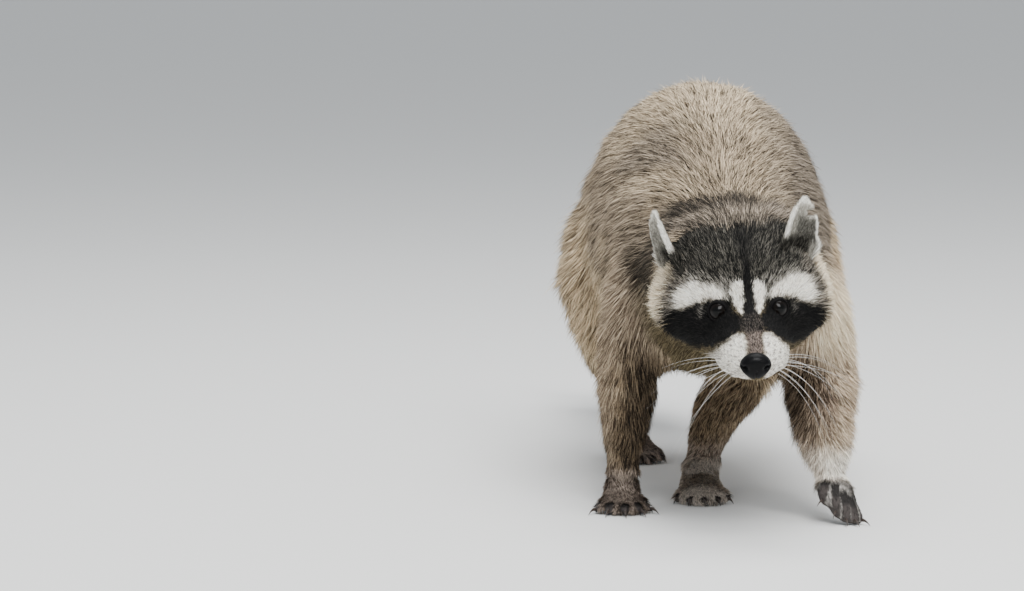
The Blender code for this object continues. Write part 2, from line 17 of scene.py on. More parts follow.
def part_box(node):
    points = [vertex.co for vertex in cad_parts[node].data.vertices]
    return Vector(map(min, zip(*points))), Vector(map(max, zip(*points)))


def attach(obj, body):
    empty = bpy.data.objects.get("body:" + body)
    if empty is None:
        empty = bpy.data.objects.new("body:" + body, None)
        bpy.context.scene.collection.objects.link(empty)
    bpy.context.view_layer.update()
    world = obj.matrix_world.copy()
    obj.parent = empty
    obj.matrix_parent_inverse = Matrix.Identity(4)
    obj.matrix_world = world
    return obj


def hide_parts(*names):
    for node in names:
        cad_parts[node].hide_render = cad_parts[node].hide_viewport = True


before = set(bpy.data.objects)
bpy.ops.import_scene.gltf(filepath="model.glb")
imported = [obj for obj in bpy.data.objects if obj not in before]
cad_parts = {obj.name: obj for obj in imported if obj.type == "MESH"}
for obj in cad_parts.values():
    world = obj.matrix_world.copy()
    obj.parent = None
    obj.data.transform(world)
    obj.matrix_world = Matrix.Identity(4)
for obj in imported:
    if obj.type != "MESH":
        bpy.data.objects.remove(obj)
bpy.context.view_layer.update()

MM = 0.001
BODY = "root"
COLOUR_NAME = "hue"
BAKE_MAP = "OFBake"
PATCH = 0.003           # the side of one tuft's patch on the bake map
SAME_POINT = 1e-5       # how near doubled points of a CAD mesh lie, in metres
POLE_GAP = 1e-7         # how near the points at a ball's pole lie, in metres
BLADE_POINTS = 5
BLADE_FACES = np.array(((0, 1, 3), (0, 3, 2), (2, 3, 4)))
CELL_KEYS = (73856093, 19349663, 83492791)      # primes that give each cell of a grid a number
LOG = logging.getLogger("raccoon")

Array = np.ndarray
Colour = tuple[float, float, float]
Rod = tuple[Array, Array, Array]     # a bristle's start, reach and bend


class Side(Enum):
    """The raccoon's own left and right, with the sign of x."""

    LEFT = 1
    RIGHT = -1

    @property
    def word(self) -> str:
        """The side's name as the CAD nodes write it."""
        return self.name.lower()


# --- small tools on arrays ---


def unit(rows: Array) -> Array:
    """Rows scaled to length one."""
    return rows / np.maximum(np.linalg.norm(rows, axis=-1, keepdims=True), 1e-12)


def ramp(value: Array, start: float, end: float) -> Array:
    """A smooth step.

    Args:
        value: Where to read the step.
        start: Where the step leaves 0.
        end: Where it reaches 1; it may lie below start.

    Returns:
        Numbers from 0 to 1.
    """
    share = np.clip((value - start) / (end - start), 0.0, 1.0)
    return share * share * (3.0 - 2.0 * share)


def mix(first: Array, second: Array, share: Array) -> Array:
    """The mean of two values or rows of values, weighted by a share for each row."""
    share = np.asarray(share, float)
    first, second = np.asarray(first, float), np.asarray(second, float)
    if first.ndim > share.ndim or second.ndim > share.ndim:
        share = share[..., None]
    return first + (second - first) * share


@dataclass(frozen=True)
class Band:
    """A stretch of a measure with soft ends: from start to full it rises, and from last to end it falls."""

    start: float
    full: float
    last: float
    end: float

    def weight(self, value: Array) -> Array:
        """How far inside the stretch values lie, from 0 to 1."""
        return ramp(value, self.start, self.full) * ramp(value, self.end, self.last)


def vertex_normals(points: Array, faces: Array) -> Array:
    """Area-weighted normals of a triangle mesh.

    Args:
        points: Its points.
        faces: The corner numbers of its triangles.

    Returns:
        One unit normal for each point.
    """
    a, b, c = (points[faces[:, k]] for k in range(3))
    across = np.cross(b - a, c - a)
    total = np.zeros_like(points)
    for axis in range(3):
        for corner in range(3):
            total[:, axis] += np.bincount(faces[:, corner], across[:, axis], len(points))
    return unit(total)


@dataclass
class Neighbours:
    """The edges of a mesh, for smoothing values over it."""

    first: Array
    second: Array
    count: Array

    @classmethod
    def of(cls, faces: Array, size: int) -> "Neighbours":
        """The edges of a triangle mesh.

        Args:
            faces: The corner numbers of its triangles.
            size: How many points it has.

        Returns:
            Each edge once in each direction.
        """
        pairs = np.concatenate([faces[:, [0, 1]], faces[:, [1, 2]], faces[:, [2, 0]]])
        pairs = np.unique(np.sort(pairs, axis=1), axis=0)
        first = np.concatenate([pairs[:, 0], pairs[:, 1]])
        second = np.concatenate([pairs[:, 1], pairs[:, 0]])
        return cls(first, second, np.maximum(np.bincount(first, minlength=size), 1))

    def smooth(self, values: Array, rounds: int, share: float = 0.5) -> Array:
        """Values drawn towards the mean of their neighbours.

        Args:
            values: One number or row for each point.
            rounds: How often.
            share: How far each time.

        Returns:
            The smoothed values.
        """
        rows = np.array(values, float).reshape(len(values), -1)
        for _ in range(rounds):
            for column in range(rows.shape[1]):
                total = np.bincount(self.first, rows[self.second, column], len(rows))
                rows[:, column] += share * (total / self.count - rows[:, column])
        return rows.reshape(np.shape(values))


class Waves:
    """Smooth noise as a sum of waves in random directions, from about -1 to 1."""

    count = 9

    def __init__(self, seed: int, size: float) -> None:
        """Draws the waves.

        Args:
            seed: The seed of the draw.
            size: The size of the noise's blots, in millimetres.
        """
        rng = np.random.default_rng(seed)
        ways = unit(rng.normal(size=(3, self.count)).T).T
        self.pull = ways * (math.pi / size) * rng.uniform(0.6, 1.6, self.count)
        self.phase = rng.uniform(0, 2 * math.pi, self.count)

    def at(self, points: Array) -> Array:
        """The noise at points given in millimetres."""
        return np.sin(points @ self.pull + self.phase).sum(1) / math.sqrt(self.count) * 0.9


def mesh_arrays(mesh: bpy.types.Mesh) -> tuple[Array, Array]:
    """Reads a mesh.

    Args:
        mesh: The mesh.

    Returns:
        Its points and the corner numbers of its triangles.
    """
    points = np.empty(len(mesh.vertices) * 3, np.float32)
    mesh.vertices.foreach_get("co", points)
    mesh.calc_loop_triangles()
    faces = np.empty(len(mesh.loop_triangles) * 3, np.int32)
    mesh.loop_triangles.foreach_get("vertices", faces)
    return points.reshape(-1, 3).astype(float), faces.reshape(-1, 3)


def linked(name: str, data: bpy.types.ID) -> bpy.types.Object:
    """Puts an object into the scene.

    Args:
        name: Its name.
        data: Its mesh, lamp or camera.

    Returns:
        The object.
    """
    obj = bpy.data.objects.new(name, data)
    bpy.context.scene.collection.objects.link(obj)
    return obj


def object_from_arrays(name: str, points: Array, faces: Array) -> bpy.types.Object:
    """Makes a linked, smooth-shaded mesh object.

    Args:
        name: The object's name.
        points: Its points, in metres.
        faces: The corner numbers of its faces, all with as many corners.

    Returns:
        The object.
    """
    mesh = bpy.data.meshes.new(name)
    corners = faces.shape[1]
    mesh.vertices.add(len(points))
    mesh.vertices.foreach_set("co", points.astype(np.float32).ravel())
    mesh.loops.add(faces.size)
    mesh.loops.foreach_set("vertex_index", faces.astype(np.int32).ravel())
    mesh.polygons.add(len(faces))
    mesh.polygons.foreach_set("loop_start", np.arange(0, faces.size, corners, dtype=np.int32))
    mesh.polygons.foreach_set("use_smooth", np.ones(len(faces), bool))
    mesh.update(calc_edges=True)
    return linked(name, mesh)


def set_colours(mesh: bpy.types.Mesh, colours: Array) -> None:
    """Paints a mesh.

    Args:
        mesh: The mesh.
        colours: One colour for each of its points.
    """
    layer = mesh.color_attributes.new(COLOUR_NAME, "FLOAT_COLOR", "POINT")
    rows = np.ones((len(colours), 4), np.float32)
    rows[:, :3] = np.clip(colours, 0.0, 1.0)
    layer.data.foreach_set("color", rows.ravel())


def recalculated(mesh: bpy.types.Mesh, merge: float = 0.0) -> None:
    """Turns a mesh's faces outwards.

    Args:
        mesh: The mesh.
        merge: How near points are merged first, in metres.
    """
    bm = bmesh.new()
    bm.from_mesh(mesh)
    if merge:
        bmesh.ops.remove_doubles(bm, verts=bm.verts, dist=merge)
    bmesh.ops.recalc_face_normals(bm, faces=bm.faces)
    bm.to_mesh(mesh)
    bm.free()


def ball_faces(rings: int, sides: int) -> Array:
    """The faces of a ball whose points run round it ring by ring, from one pole to the other.

    Args:
        rings: How many rings of faces it has.
        sides: How many faces each ring has.

    Returns:
        The corner numbers of its faces.
    """
    grid = np.arange((rings + 1) * sides).reshape(rings + 1, sides)
    turned = np.roll(grid, -1, axis=1)
    return np.stack([grid[:-1], turned[:-1], turned[1:], grid[1:]], -1).reshape(-1, 4)


def finish_piece(obj: bpy.types.Object, slot: str, *nodes: str) -> bpy.types.Object:
    """Puts a finished piece on the body.

    Args:
        obj: The piece.
        slot: The finish it shows; not used.
        nodes: The CAD nodes it stands for.

    Returns:
        The piece.
    """
    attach(obj, BODY)
    if nodes:
        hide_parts(*nodes)
    return obj


@lru_cache(maxsize=None)
def node_box(name: str) -> tuple[Array, Array]:
    """The lowest and highest corners of a CAD node, in metres."""
    low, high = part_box(name)
    return np.array(low), np.array(high)


# --- where the head is ---


@dataclass(frozen=True)
class Skull:
    """The head's own frame: x to its left, y to the nape, z up, in millimetres from between the eyeballs."""

    pitch: float = 25.5
    roll: float = -2.4
    yaw: float = -0.4

    @property
    def origin(self) -> Array:
        """The point between the eyeballs, in metres."""
        corners = [*node_box("eye_left"), *node_box("eye_right")]
        return sum(corners) / len(corners)

    @property
    def turn(self) -> Array:
        """The matrix that turns the head's axes to the frame's."""
        angles = [math.radians(angle) for angle in (self.pitch, self.roll, self.yaw)]
        return np.array(Euler(angles, "XYZ").to_matrix())

    def inward(self, points: Array) -> Array:
        """Points of the frame, in the head's own millimetres."""
        return (np.asarray(points) - self.origin) @ self.turn / MM

    def outward(self, points: Array) -> Array:
        """Points in the head's own millimetres, in the frame."""
        return np.asarray(points) @ self.turn.T * MM + self.origin


@dataclass(frozen=True)
class Ear:
    """One ear's place on the head and its turn: back, leaning over and turned out, in degrees."""

    side: Side
    root: tuple[float, float, float]
    back: float
    lean: float
    turn_out: float
    height: float = 43.0
    half_width: float = 15.5
    foot: float = 9.0
    tip_shift: float = 4.0
    foot_share: float = 0.86     # the ear's width at its foot
    round_from: float = 0.28     # where its tip begins to round
    tip_share: float = 0.12      # its width at the very tip

    def edge_gap(self, own: Array) -> Array:
        """How far inside the ear's side edges places lie.

        Args:
            own: The places, in the ear's own millimetres.

        Returns:
            Millimetres, below 0 outside.
        """
        share = np.clip((own[:, 2] + self.foot) / (self.height + self.foot), 0.0, 1.0)
        base = self.foot_share + (1.0 - self.foot_share) * np.sin(math.pi * np.minimum(share / 0.5, 1.0))
        rounded = np.maximum(share - self.round_from, 0.0) / (1.0 - self.round_from)
        tip = np.sqrt(np.maximum(1.0 - rounded**2, 0.0))
        middle = self.side.value * self.tip_shift * share
        width = self.half_width * base * (self.tip_share + (1.0 - self.tip_share) * tip)
        return width - np.abs(own[:, 0] - middle)

    def frame(self, skull: Skull) -> tuple[Array, Array]:
        """The ear's own axes as columns, and its root in metres."""
        angles = [math.radians(angle) for angle in (-self.back, self.lean, self.turn_out)]
        local = np.array(Euler(angles, "ZXY").to_matrix())
        return skull.turn @ local, skull.outward(np.array(self.root))

    def inward(self, skull: Skull, points: Array) -> Array:
        """Points in the ear's own millimetres: across, towards its back, and up to its tip."""
        axes, root = self.frame(skull)
        return (np.asarray(points) - root) @ axes / MM


SKULL = Skull()
EARS = (
    Ear(Side.LEFT, (36.0, 42.5, 19.2), 17.0, 14.0, 28.0),
    Ear(Side.RIGHT, (-48.0, 44.5, 13.2), 15.0, -26.0, -62.0),
)
EYE_RADIUS = 8.0
EYE_PLACE = (20.5, 0.0, 0.0)
EYE_AXIS = (0.36, -0.83, 0.43)
NOSE_PLACE = (-0.8, -68.5, -5.5)
FACE_SLOPE = (0.515, 0.857)     # how the height on the face follows the head's y and z


# --- how each region is coated ---


@dataclass(frozen=True)
class Region:
    """The coat of one CAD node.

    depth is how far the skin lies inside the coat's tips. length, width and lift, in degrees off the skin,
    are a tuft's own, and lie is the way it points, or None along the node's own long axis, towards distal.
    """

    depth: float
    length: float
    width: float
    lift: float
    lie: tuple[float, float, float] | None = None
    distal: tuple[float, float, float] = (0.0, 0.0, -1.0)


REGIONS: dict[str, Region] = {
    "head": Region(5.0, 12.0, 0.5, 24.0, (0.0, 1.0, -0.2)),
    "neck": Region(8.0, 17.0, 0.62, 25.0, (0.0, 1.0, -0.55)),
    "chest": Region(9.0, 19.0, 0.68, 25.0, (0.0, 0.9, -0.6)),
    "trunk": Region(9.0, 18.5, 0.7, 25.0, (0.0, 1.0, -0.65)),
    "rump": Region(12.0, 25.0, 0.85, 28.0, (0.0, 0.8, -0.6)),
    "tail_base": Region(15.0, 31.0, 1.0, 30.0, None, (0.0, 1.0, 0.0)),
    "tail_middle": Region(16.0, 32.0, 1.0, 30.0, None, (0.0, 1.0, 0.0)),
    "tail_tip": Region(15.0, 32.0, 1.0, 28.0, None, (0.0, 1.0, 0.0)),
    "upper_arm_left": Region(9.0, 26.0, 0.58, 32.0, (0.25, 0.35, -1.0)),
    "upper_arm_right": Region(9.0, 21.0, 0.85, 28.0),
    "forearm_left": Region(5.0, 18.0, 0.52, 30.0, (0.15, 0.2, -1.0)),
    "forearm_right": Region(5.0, 16.0, 0.58, 26.0),
    "forepaw_left": Region(0.8, 3.8, 0.42, 14.0, (0.0, -1.0, -0.5)),
    "forepaw_right": Region(1.2, 8.0, 0.5, 20.0, (0.0, -1.0, -0.45)),
    "thigh_left": Region(10.0, 23.0, 0.8, 27.0, (0.0, 0.55, -0.9)),
    "thigh_right": Region(10.0, 23.0, 0.8, 27.0, (0.0, 0.55, -0.9)),
    "shank_left": Region(5.0, 15.0, 0.75, 24.0),
    "shank_right": Region(4.5, 14.0, 0.75, 24.0),
    "hindpaw_left": Region(1.2, 8.5, 0.52, 20.0, (0.0, -1.0, -0.45)),
    "hindpaw_right": Region(1.2, 8.5, 0.52, 20.0, (0.0, -1.0, -0.45)),
    "ear_left": Region(0.3, 3.8, 0.32, 15.0),
    "ear_right": Region(0.3, 3.8, 0.32, 15.0),
}
NAMES = tuple(REGIONS)
EAR_REGIONS = ("ear_left", "ear_right")
PAW_REGIONS = ("forepaw_left", "forepaw_right", "hindpaw_left", "hindpaw_right")
TAIL_REGIONS = ("tail_base", "tail_middle", "tail_tip")
ARM_REGIONS = ("upper_arm_left", "upper_arm_right", "forearm_left", "forearm_right")
LEG_REGIONS = (*ARM_REGIONS, "shank_left", "shank_right")


def number(name: str) -> int:
    """A region's place in the rows of weights."""
    return NAMES.index(name)


def share_of(weights: Array, *names: str) -> Array:
    """How much of some regions the points of rows of weights have."""
    return sum(weights[:, number(name)] for name in names)


# --- the markings ---


@dataclass(frozen=True)
class Fur:
    """One kind of hair colour: pale and dark tufts, and the share of pale ones."""

    pale: Colour
    dark: Colour
    share: float


# the plain grizzled fur, also laid as a painted highlight on the chest's top
GRIZZLED_AND_HIGHLIGHT = Fur((0.81, 0.653, 0.451), (0.0478, 0.0359, 0.0239), 0.56)
MANE = Fur((0.662, 0.524, 0.359), (0.035, 0.0267, 0.0184), 0.48)
FLANK = Fur((0.515, 0.414, 0.299), (0.0414, 0.0313, 0.0221), 0.48)
# darker fur laid as painted shade on the left flank and the right side of the back
PAINTED_SHADE_FLANK = Fur((0.331, 0.276, 0.216), (0.0258, 0.0202, 0.0156), 0.42)
LOW_FLANK = Fur((0.857, 0.682, 0.454), (0.1136, 0.083, 0.0507), 0.62)
BELLY = Fur((0.552, 0.442, 0.304), (0.1472, 0.1104, 0.0736), 0.60)
NAPE_TAN = Fur((0.476, 0.394, 0.303), (0.0344, 0.0271, 0.0205), 0.42)
# the head's base fur, also laid as painted shade on the neck's lower sides
RUFF_AND_SHADE = Fur((0.268, 0.212, 0.123), (0.0212, 0.0155, 0.0084), 0.38)
SHANK = Fur((0.644, 0.488, 0.322), (0.0782, 0.0552, 0.0331), 0.44)
# the dark banded fur of the rings, also laid as a painted shadow in the groove by the right arm
BANDED_AND_SHADOW = Fur((0.139, 0.115, 0.09), (0.0115, 0.0098, 0.0074), 0.22)
TEMPLE_GREY = Fur((0.276, 0.244, 0.202), (0.0166, 0.0147, 0.012), 0.36)
# cream fur of the cheek lines, also laid as painted light on the left side of the neck
CREAM_AND_LIGHT = Fur((0.941, 0.826, 0.634), (0.4224, 0.3264, 0.2112), 0.80)
CHARCOAL = Fur((0.138, 0.127, 0.106), (0.0055, 0.0055, 0.0046), 0.20)
BLACK = Fur((0.014, 0.013, 0.012), (0.002, 0.002, 0.002), 0.20)
WHITE = Fur((1.0, 0.96, 0.86), (0.38, 0.34, 0.28), 0.82)
# grey fur for the pores' dots on the pads, also laid as painted shade on their edges
PORES_AND_SHADE = Fur((0.44, 0.41, 0.37), (0.09, 0.08, 0.07), 0.46)
FROSTED = Fur((0.70, 0.65, 0.56), (0.030, 0.027, 0.023), 0.46)
STREAKED = Fur((0.26, 0.24, 0.21), (0.005, 0.005, 0.004), 0.36)
BRIDGE_DARK = Fur((0.105, 0.088, 0.073), (0.0035, 0.003, 0.003), 0.16)
BRIDGE = Fur((0.261, 0.206, 0.174), (0.019, 0.0143, 0.0119), 0.36)
LEG = Fur((0.414, 0.304, 0.189), (0.0368, 0.0258, 0.0166), 0.40)
LEG_PALE = Fur((0.762, 0.627, 0.457), (0.1693, 0.1185, 0.0804), 0.64)
LEG_BROWN = Fur((0.515, 0.386, 0.285), (0.0414, 0.0294, 0.0202), 0.42)
LEG_DARK = Fur((0.20, 0.147, 0.094), (0.014, 0.010, 0.0065), 0.28)
WRIST = Fur((1.0, 0.94, 0.83), (0.34, 0.30, 0.25), 0.74)
FOOT = Fur((0.662, 0.552, 0.478), (0.1472, 0.115, 0.092), 0.58)
HAND = Fur((0.527, 0.493, 0.451), (0.119, 0.1105, 0.102), 0.60)
DIGIT = Fur((0.060, 0.054, 0.050), (0.012, 0.011, 0.010), 0.35)
# darker throat fur, also laid as painted shade under the jaw, the chin and the neck
THROAT_AND_SHADE = Fur((0.197, 0.154, 0.082), (0.021, 0.0158, 0.0078), 0.38)
TAIL_PALE = Fur((0.68, 0.55, 0.38), (0.18, 0.13, 0.085), 0.62)
TAIL_DARK = Fur((0.09, 0.068, 0.048), (0.010, 0.008, 0.006), 0.25)
EAR_BACK = Fur((0.40, 0.36, 0.30), (0.06, 0.05, 0.04), 0.45)
EAR_RIM = Fur((0.95, 0.93, 0.86), (0.62, 0.58, 0.50), 0.9)
EAR_FRONT = Fur((0.66, 0.63, 0.55), (0.27, 0.25, 0.21), 0.6)
# dark fur laid as painted shade inside the ears' hollows
EAR_HOLLOW_SHADE = Fur((0.14, 0.13, 0.11), (0.015, 0.015, 0.013), 0.30)


@dataclass
class Paint:
    """Pale and dark colours and the share of pale tufts, for many places at once."""

    pale: Array
    dark: Array
    share: Array

    @classmethod
    def plain(cls, fur: Fur, size: int) -> "Paint":
        """The same fur at every place."""
        return cls(np.tile(fur.pale, (size, 1)), np.tile(fur.dark, (size, 1)), np.full(size, fur.share))

    def cover(self, fur: Fur, weight: Array) -> None:
        """Lays a fur over the present one where weight is near 1."""
        self.pale = mix(self.pale, np.array(fur.pale), weight)
        self.dark = mix(self.dark, np.array(fur.dark), weight)
        self.share = mix(self.share, np.full(len(weight), fur.share), weight)

    def only(self, weight: Array, before: "Paint") -> None:
        """Goes back to an earlier paint where weight is near 0."""
        self.pale = mix(before.pale, self.pale, weight)
        self.dark = mix(before.dark, self.dark, weight)
        self.share = mix(before.share, self.share, weight)

    def mean(self) -> Array:
        """The colour of the mixed hairs seen from afar."""
        return mix(self.dark, self.pale, self.share)


@dataclass(frozen=True)
class Patch:
    """A marking of one side of the face, outlined by distances from the midline and heights on the face.

    soft is the width of its edge in millimetres, and strength how much it covers what lies under it.
    """

    fur: Fur
    outline: tuple[tuple[float, float], ...]
    soft: float
    strength: float = 1.0

    def weight(self, across: Array, up: Array) -> Array:
        """How much of the marking shows at places on the face.

        Args:
            across: Their distances from the midline, in millimetres.
            up: Their heights on the face, in millimetres.

        Returns:
            Numbers from 0 to the marking's strength.
        """
        corners = np.array(self.outline)
        inside = np.zeros(len(across), bool)
        nearest = np.full(len(across), 1e9)
        for (x0, y0), (x1, y1) in zip(corners, np.roll(corners, -1, axis=0)):
            crosses = (y0 > up) != (y1 > up)
            slope = (x1 - x0) / (y1 - y0) if y1 != y0 else 0.0
            inside ^= crosses & (across < x0 + (up - y0) * slope)
            run, rise = x1 - x0, y1 - y0
            along = np.clip(((across - x0) * run + (up - y0) * rise) / (run * run + rise * rise), 0, 1)
            gap = np.hypot(across - x0 - along * run, up - y0 - along * rise)
            nearest = np.minimum(nearest, gap)
        return ramp(np.where(inside, nearest, -nearest), -self.soft, self.soft) * self.strength


CAP = Patch(
    CHARCOAL,
    ((-9, 3), (13, 3), (22, 12), (42, 15), (50, 20), (55, 42), (51, 57), (38, 62), (16, 62), (-9, 63)),
    2.4,
)
TEMPLE = Patch(
    TEMPLE_GREY,
    ((40, 26), (46, 20), (50, 12), (52, 2), (56, -6), (62, -8), (62, 4), (58, 16), (53, 28), (46, 40)),
    2.2,
)
CHEEK_LINE = Patch(
    CREAM_AND_LIGHT,
    ((48, 40), (53, 29), (59, 15), (62, 0), (63, -14), (80, -14), (78, 0), (69, 15), (62, 29), (56, 40)),
    2.4,
)
BROW = Patch(
    WHITE,
    (
        (15.8, 8.0), (22, 9.6), (29, 9.4), (36, 7.2), (43, 4), (48, 2.6), (51, 4), (52, 8.5), (50, 14),
        (45, 19.5), (38, 22), (30, 19.6), (21, 16.2), (16.2, 12.2),
    ),
    2.4,
)
BROW_BAR = Patch(
    WHITE,
    (
        (3.7, 20), (8, 21), (11.6, 19), (13, 13), (12.6, 8), (9.8, 2), (6.6, -3.5), (5.2, -4.5), (4.4, 0),
        (3.8, 10),
    ),
    1.3,
)
MASK = Patch(
    BLACK,
    (
        (5, -7), (9, -2), (12.5, 4), (17, 8.6), (25, 9.2), (31, 8.2), (38, 5.6), (46, 2.2), (52, 3), (57, 0),
        (60, -7), (60, -13), (56, -19), (47, -23.5), (36, -26), (27, -26), (20, -23), (13, -18), (7, -14),
    ),
    2.5,
)
STRIPE = Patch(BLACK, ((-9, 38), (1, 36), (2.8, 29), (3.8, 20), (4, 8), (4.9, 0), (6.5, -7), (-9, -9)), 1.2)
MUZZLE_PAD = Patch(
    WHITE,
    ((6.4, -20), (9, -17.5), (13, -18.5), (19, -23), (24, -27), (29, -34), (29, -62), (5, -62), (7, -31)),
    2.2,
)
BRIDGE_SHADE = Patch(BRIDGE_DARK, ((-9, -4), (4.5, -4), (8, -9), (8, -17), (-9, -20)), 2.0)
BRIDGE_PATCH = Patch(BRIDGE, ((-9, -15), (5.2, -16), (5.6, -22), (5.6, -40), (-9, -40)), 2.4)
CROWN_LINE = Patch(BLACK, ((-9, 62), (9, 60), (7, 46), (3.5, 33), (-9, 33)), 5.0, 0.8)
FROST = Patch(
    FROSTED,
    ((12, 15), (22, 16.5), (30, 20), (38, 22), (46, 20), (50, 24), (44, 28), (34, 28), (22, 24), (11, 23)),
    3.5,
    0.45,
)
EYE_STREAK = Patch(STREAKED, ((31.5, 5), (36, 3.5), (37, -3), (34.5, -6), (32.5, -3)), 2.2, 0.6)
CROWN_PATCHES = (CAP, CROWN_LINE, FROST, TEMPLE, CHEEK_LINE)
FACE_PATCHES = (MASK, EYE_STREAK, BROW, BROW_BAR, STRIPE, BRIDGE_SHADE, BRIDGE_PATCH, MUZZLE_PAD)


def face_height(head: Array) -> Array:
    """The height on the face of places in the head's own millimetres."""
    return FACE_SLOPE[0] * head[:, 1] + FACE_SLOPE[1] * head[:, 2]


class Places:
    """Places on the skin or in the coat, with what the markings read there."""

    def __init__(self, points: Array, normals: Array, weights: Array) -> None:
        """Reads the places.

        Args:
            points: Where they are, in metres.
            normals: The skin's normals there.
            weights: The region weights there.
        """
        self.points = points
        self.normals = normals
        self.weights = weights
        self.spots = points / MM
        self.head = SKULL.inward(points)

    def part(self, *names: str) -> Array:
        """How much of some regions each place has."""
        return share_of(self.weights, *names)


class Markings:
    """The raccoon's colours, the same for its skin and its coat.

    Each band says over which stretch of a measure a marking runs. Lengths are millimetres.
    """

    brow_drop = 3.0                                 # how much lower the outer end of the left brow lies
    jowl_across = Band(12.0, 20.0, 52.0, 66.0)      # distances from the midline
    tan_ring = Band(60.0, 64.0, 79.0, 82.0)         # heights on the face
    thin_ring = Band(64.0, 66.0, 68.5, 70.0)
    dark_ring = Band(73.0, 76.5, 84.0, 90.0)
    collar = Band(86.0, 91.0, 102.0, 110.0)
    lit_neck = Band(-48.0, -28.0, 24.0, 34.0)
    behind_ear_height = Band(-60.0, -35.0, 6.0, 14.0)       # the head's z
    behind_ear_depth = Band(78.0, 92.0, 120.0, 150.0)       # the head's y
    saddle = Band(0.05, 0.5, 0.8, 0.93)             # painted shade on the back's right side: how far the skin faces the animal's right
    # painted highlight on the chest's top, off to the left: how far the skin faces the animal's right
    crest = Band(-0.65, -0.4, -0.12, 0.08)
    groove_centre = (-66.0, -228.0, 165.0)          # painted shadow in the groove between the right arm and the neck
    groove_radii = (24.0, 46.0, 80.0)
    tail_rings = 6.5
    first_ring = 0.75

    def __init__(self) -> None:
        """Draws the noise that makes the edges ragged."""
        self.ragged = Waves(3, 3.2)
        self.ragged_up = Waves(4, 3.6)
        self.blots = Waves(5, 26.0)
        self.streaks = Waves(6, 9.0)
        self.specks = Waves(7, 1.5)

    def face(self, paint: Paint, head: Array, edge: float) -> None:
        """Lays the face's markings, with painted shade on the jowls, under the chin and on the pads' lower
        and outer edges.

        Args:
            paint: What is painted.
            head: The places, in the head's own millimetres.
            edge: How ragged the edges are, in millimetres.
        """
        across = np.abs(head[:, 0]) + edge * self.ragged.at(head)
        up = face_height(head) + edge * self.ragged_up.at(head)
        up -= self.brow_drop * ramp(head[:, 0], 14.0, 30.0) * ramp(up, 8.0, 15.0)
        crown = ramp(head[:, 1], 84.0, 70.0)
        for patch in CROWN_PATCHES:
            paint.cover(patch.fur, patch.weight(across, up) * crown)
        # darker throat fur and painted shade on the jowls below the mask and under the chin
        paint.cover(THROAT_AND_SHADE, ramp(up, -20.0, -29.0) * self.jowl_across.weight(across) * 0.8)
        paint.cover(THROAT_AND_SHADE, ramp(head[:, 2], -34.0, -46.0) * ramp(head[:, 1], -30.0, -8.0) * 0.9)
        front = ramp(head[:, 1], 62.0, 52.0)
        for patch in FACE_PATCHES:
            paint.cover(patch.fur, patch.weight(across, up) * front)
        pads = MUZZLE_PAD.weight(across, up) * front
        paint.cover(PORES_AND_SHADE, pads * ramp(self.specks.at(head), 0.25, 1.0) * 0.8)
        # painted shade: the pads greyer towards their foot and outer sides
        shaded = np.maximum(ramp(head[:, 2], -13.0, -23.0), ramp(across, 21.0, 28.0))
        paint.cover(PORES_AND_SHADE, pads * shaded * 0.6)
        paint.cover(WHITE, ramp(head[:, 1], -24.0, -34.0) * ramp(head[:, 2], -17.0, -22.0))
        lips = ramp(np.abs(head[:, 2] - mouth_height(head[:, 1])), 1.5, 0.7)
        paint.cover(BLACK, lips * ramp(head[:, 1], -26.0, -32.0) * 0.85)

    def rings(self, paint: Paint, head: Array, near: Array) -> None:
        """Lays the pale and dark rings behind the crown and the dark band down behind the ears.

        Args:
            paint: What is painted.
            head: The places, in the head's own millimetres.
            near: How much of the head, the neck and the chest they have.
        """
        wavy = face_height(head) + 1.2 * self.blots.at(head) + 0.12 * np.abs(head[:, 0])
        ragged = wavy + 0.9 * self.ragged.at(head)
        top = ramp(head[:, 2], -14.0, 2.0) * near
        paint.cover(NAPE_TAN, self.tan_ring.weight(ragged) * top)
        paint.cover(BANDED_AND_SHADOW, self.thin_ring.weight(ragged) * top * 0.6)
        fainter_left = 0.85 - 0.35 * ramp(head[:, 0], 6.0, 20.0)
        paint.cover(BANDED_AND_SHADOW, self.dark_ring.weight(ragged) * top * fainter_left)
        behind = ramp(np.abs(head[:, 0]), 40.0, 54.0) * self.behind_ear_height.weight(head[:, 2])
        paint.cover(BANDED_AND_SHADOW, behind * self.behind_ear_depth.weight(head[:, 1]) * near * 0.75)

    def ear(self, paint: Paint, places: Places, ear: Ear) -> None:
        """Lays one ear's pale rim, grey front and a dark inner patch of painted shade in its hollow.

        Args:
            paint: What is painted.
            places: The places.
            ear: The ear.
        """
        weight = places.part("ear_" + ear.side.word)
        own = ear.inward(SKULL, places.points)
        axes, _ = ear.frame(SKULL)
        facing = -(places.normals @ axes[:, 1])
        share = np.clip(own[:, 2] / ear.height, -0.2, 1.0)
        outer = ear.side.value * own[:, 0]
        inside = ramp(facing, -0.15, 0.2)
        paint.cover(EAR_BACK, weight)
        paint.cover(EAR_FRONT, weight * inside)
        # painted shade in the ear's hollow, stronger on the left ear
        hollow_shade_strength = 0.85 if ear.side is Side.LEFT else 0.35
        dark = ramp(outer, -5.0, 2.0) * ramp(share, 0.78, 0.56) * ramp(share, 0.05, 0.3) * hollow_shade_strength
        paint.cover(EAR_HOLLOW_SHADE, weight * inside * dark)
        foot = ramp(share, 0.42, 0.26) * ramp(outer, 13.0, 9.0)
        paint.cover(CHARCOAL, weight * foot)
        rim = ramp(ear.edge_gap(own), 1.8, 0.8) * np.maximum(ramp(share, 0.28, 0.42), ramp(outer, 2.0, 6.0))
        rim = np.maximum(rim, ramp(share, 0.84, 0.92))
        edge_on = ramp(np.abs(facing), 0.7, 0.35) * ramp(share, 0.4, 0.6)
        paint.cover(EAR_RIM, weight * np.maximum(rim, edge_on * 0.9))

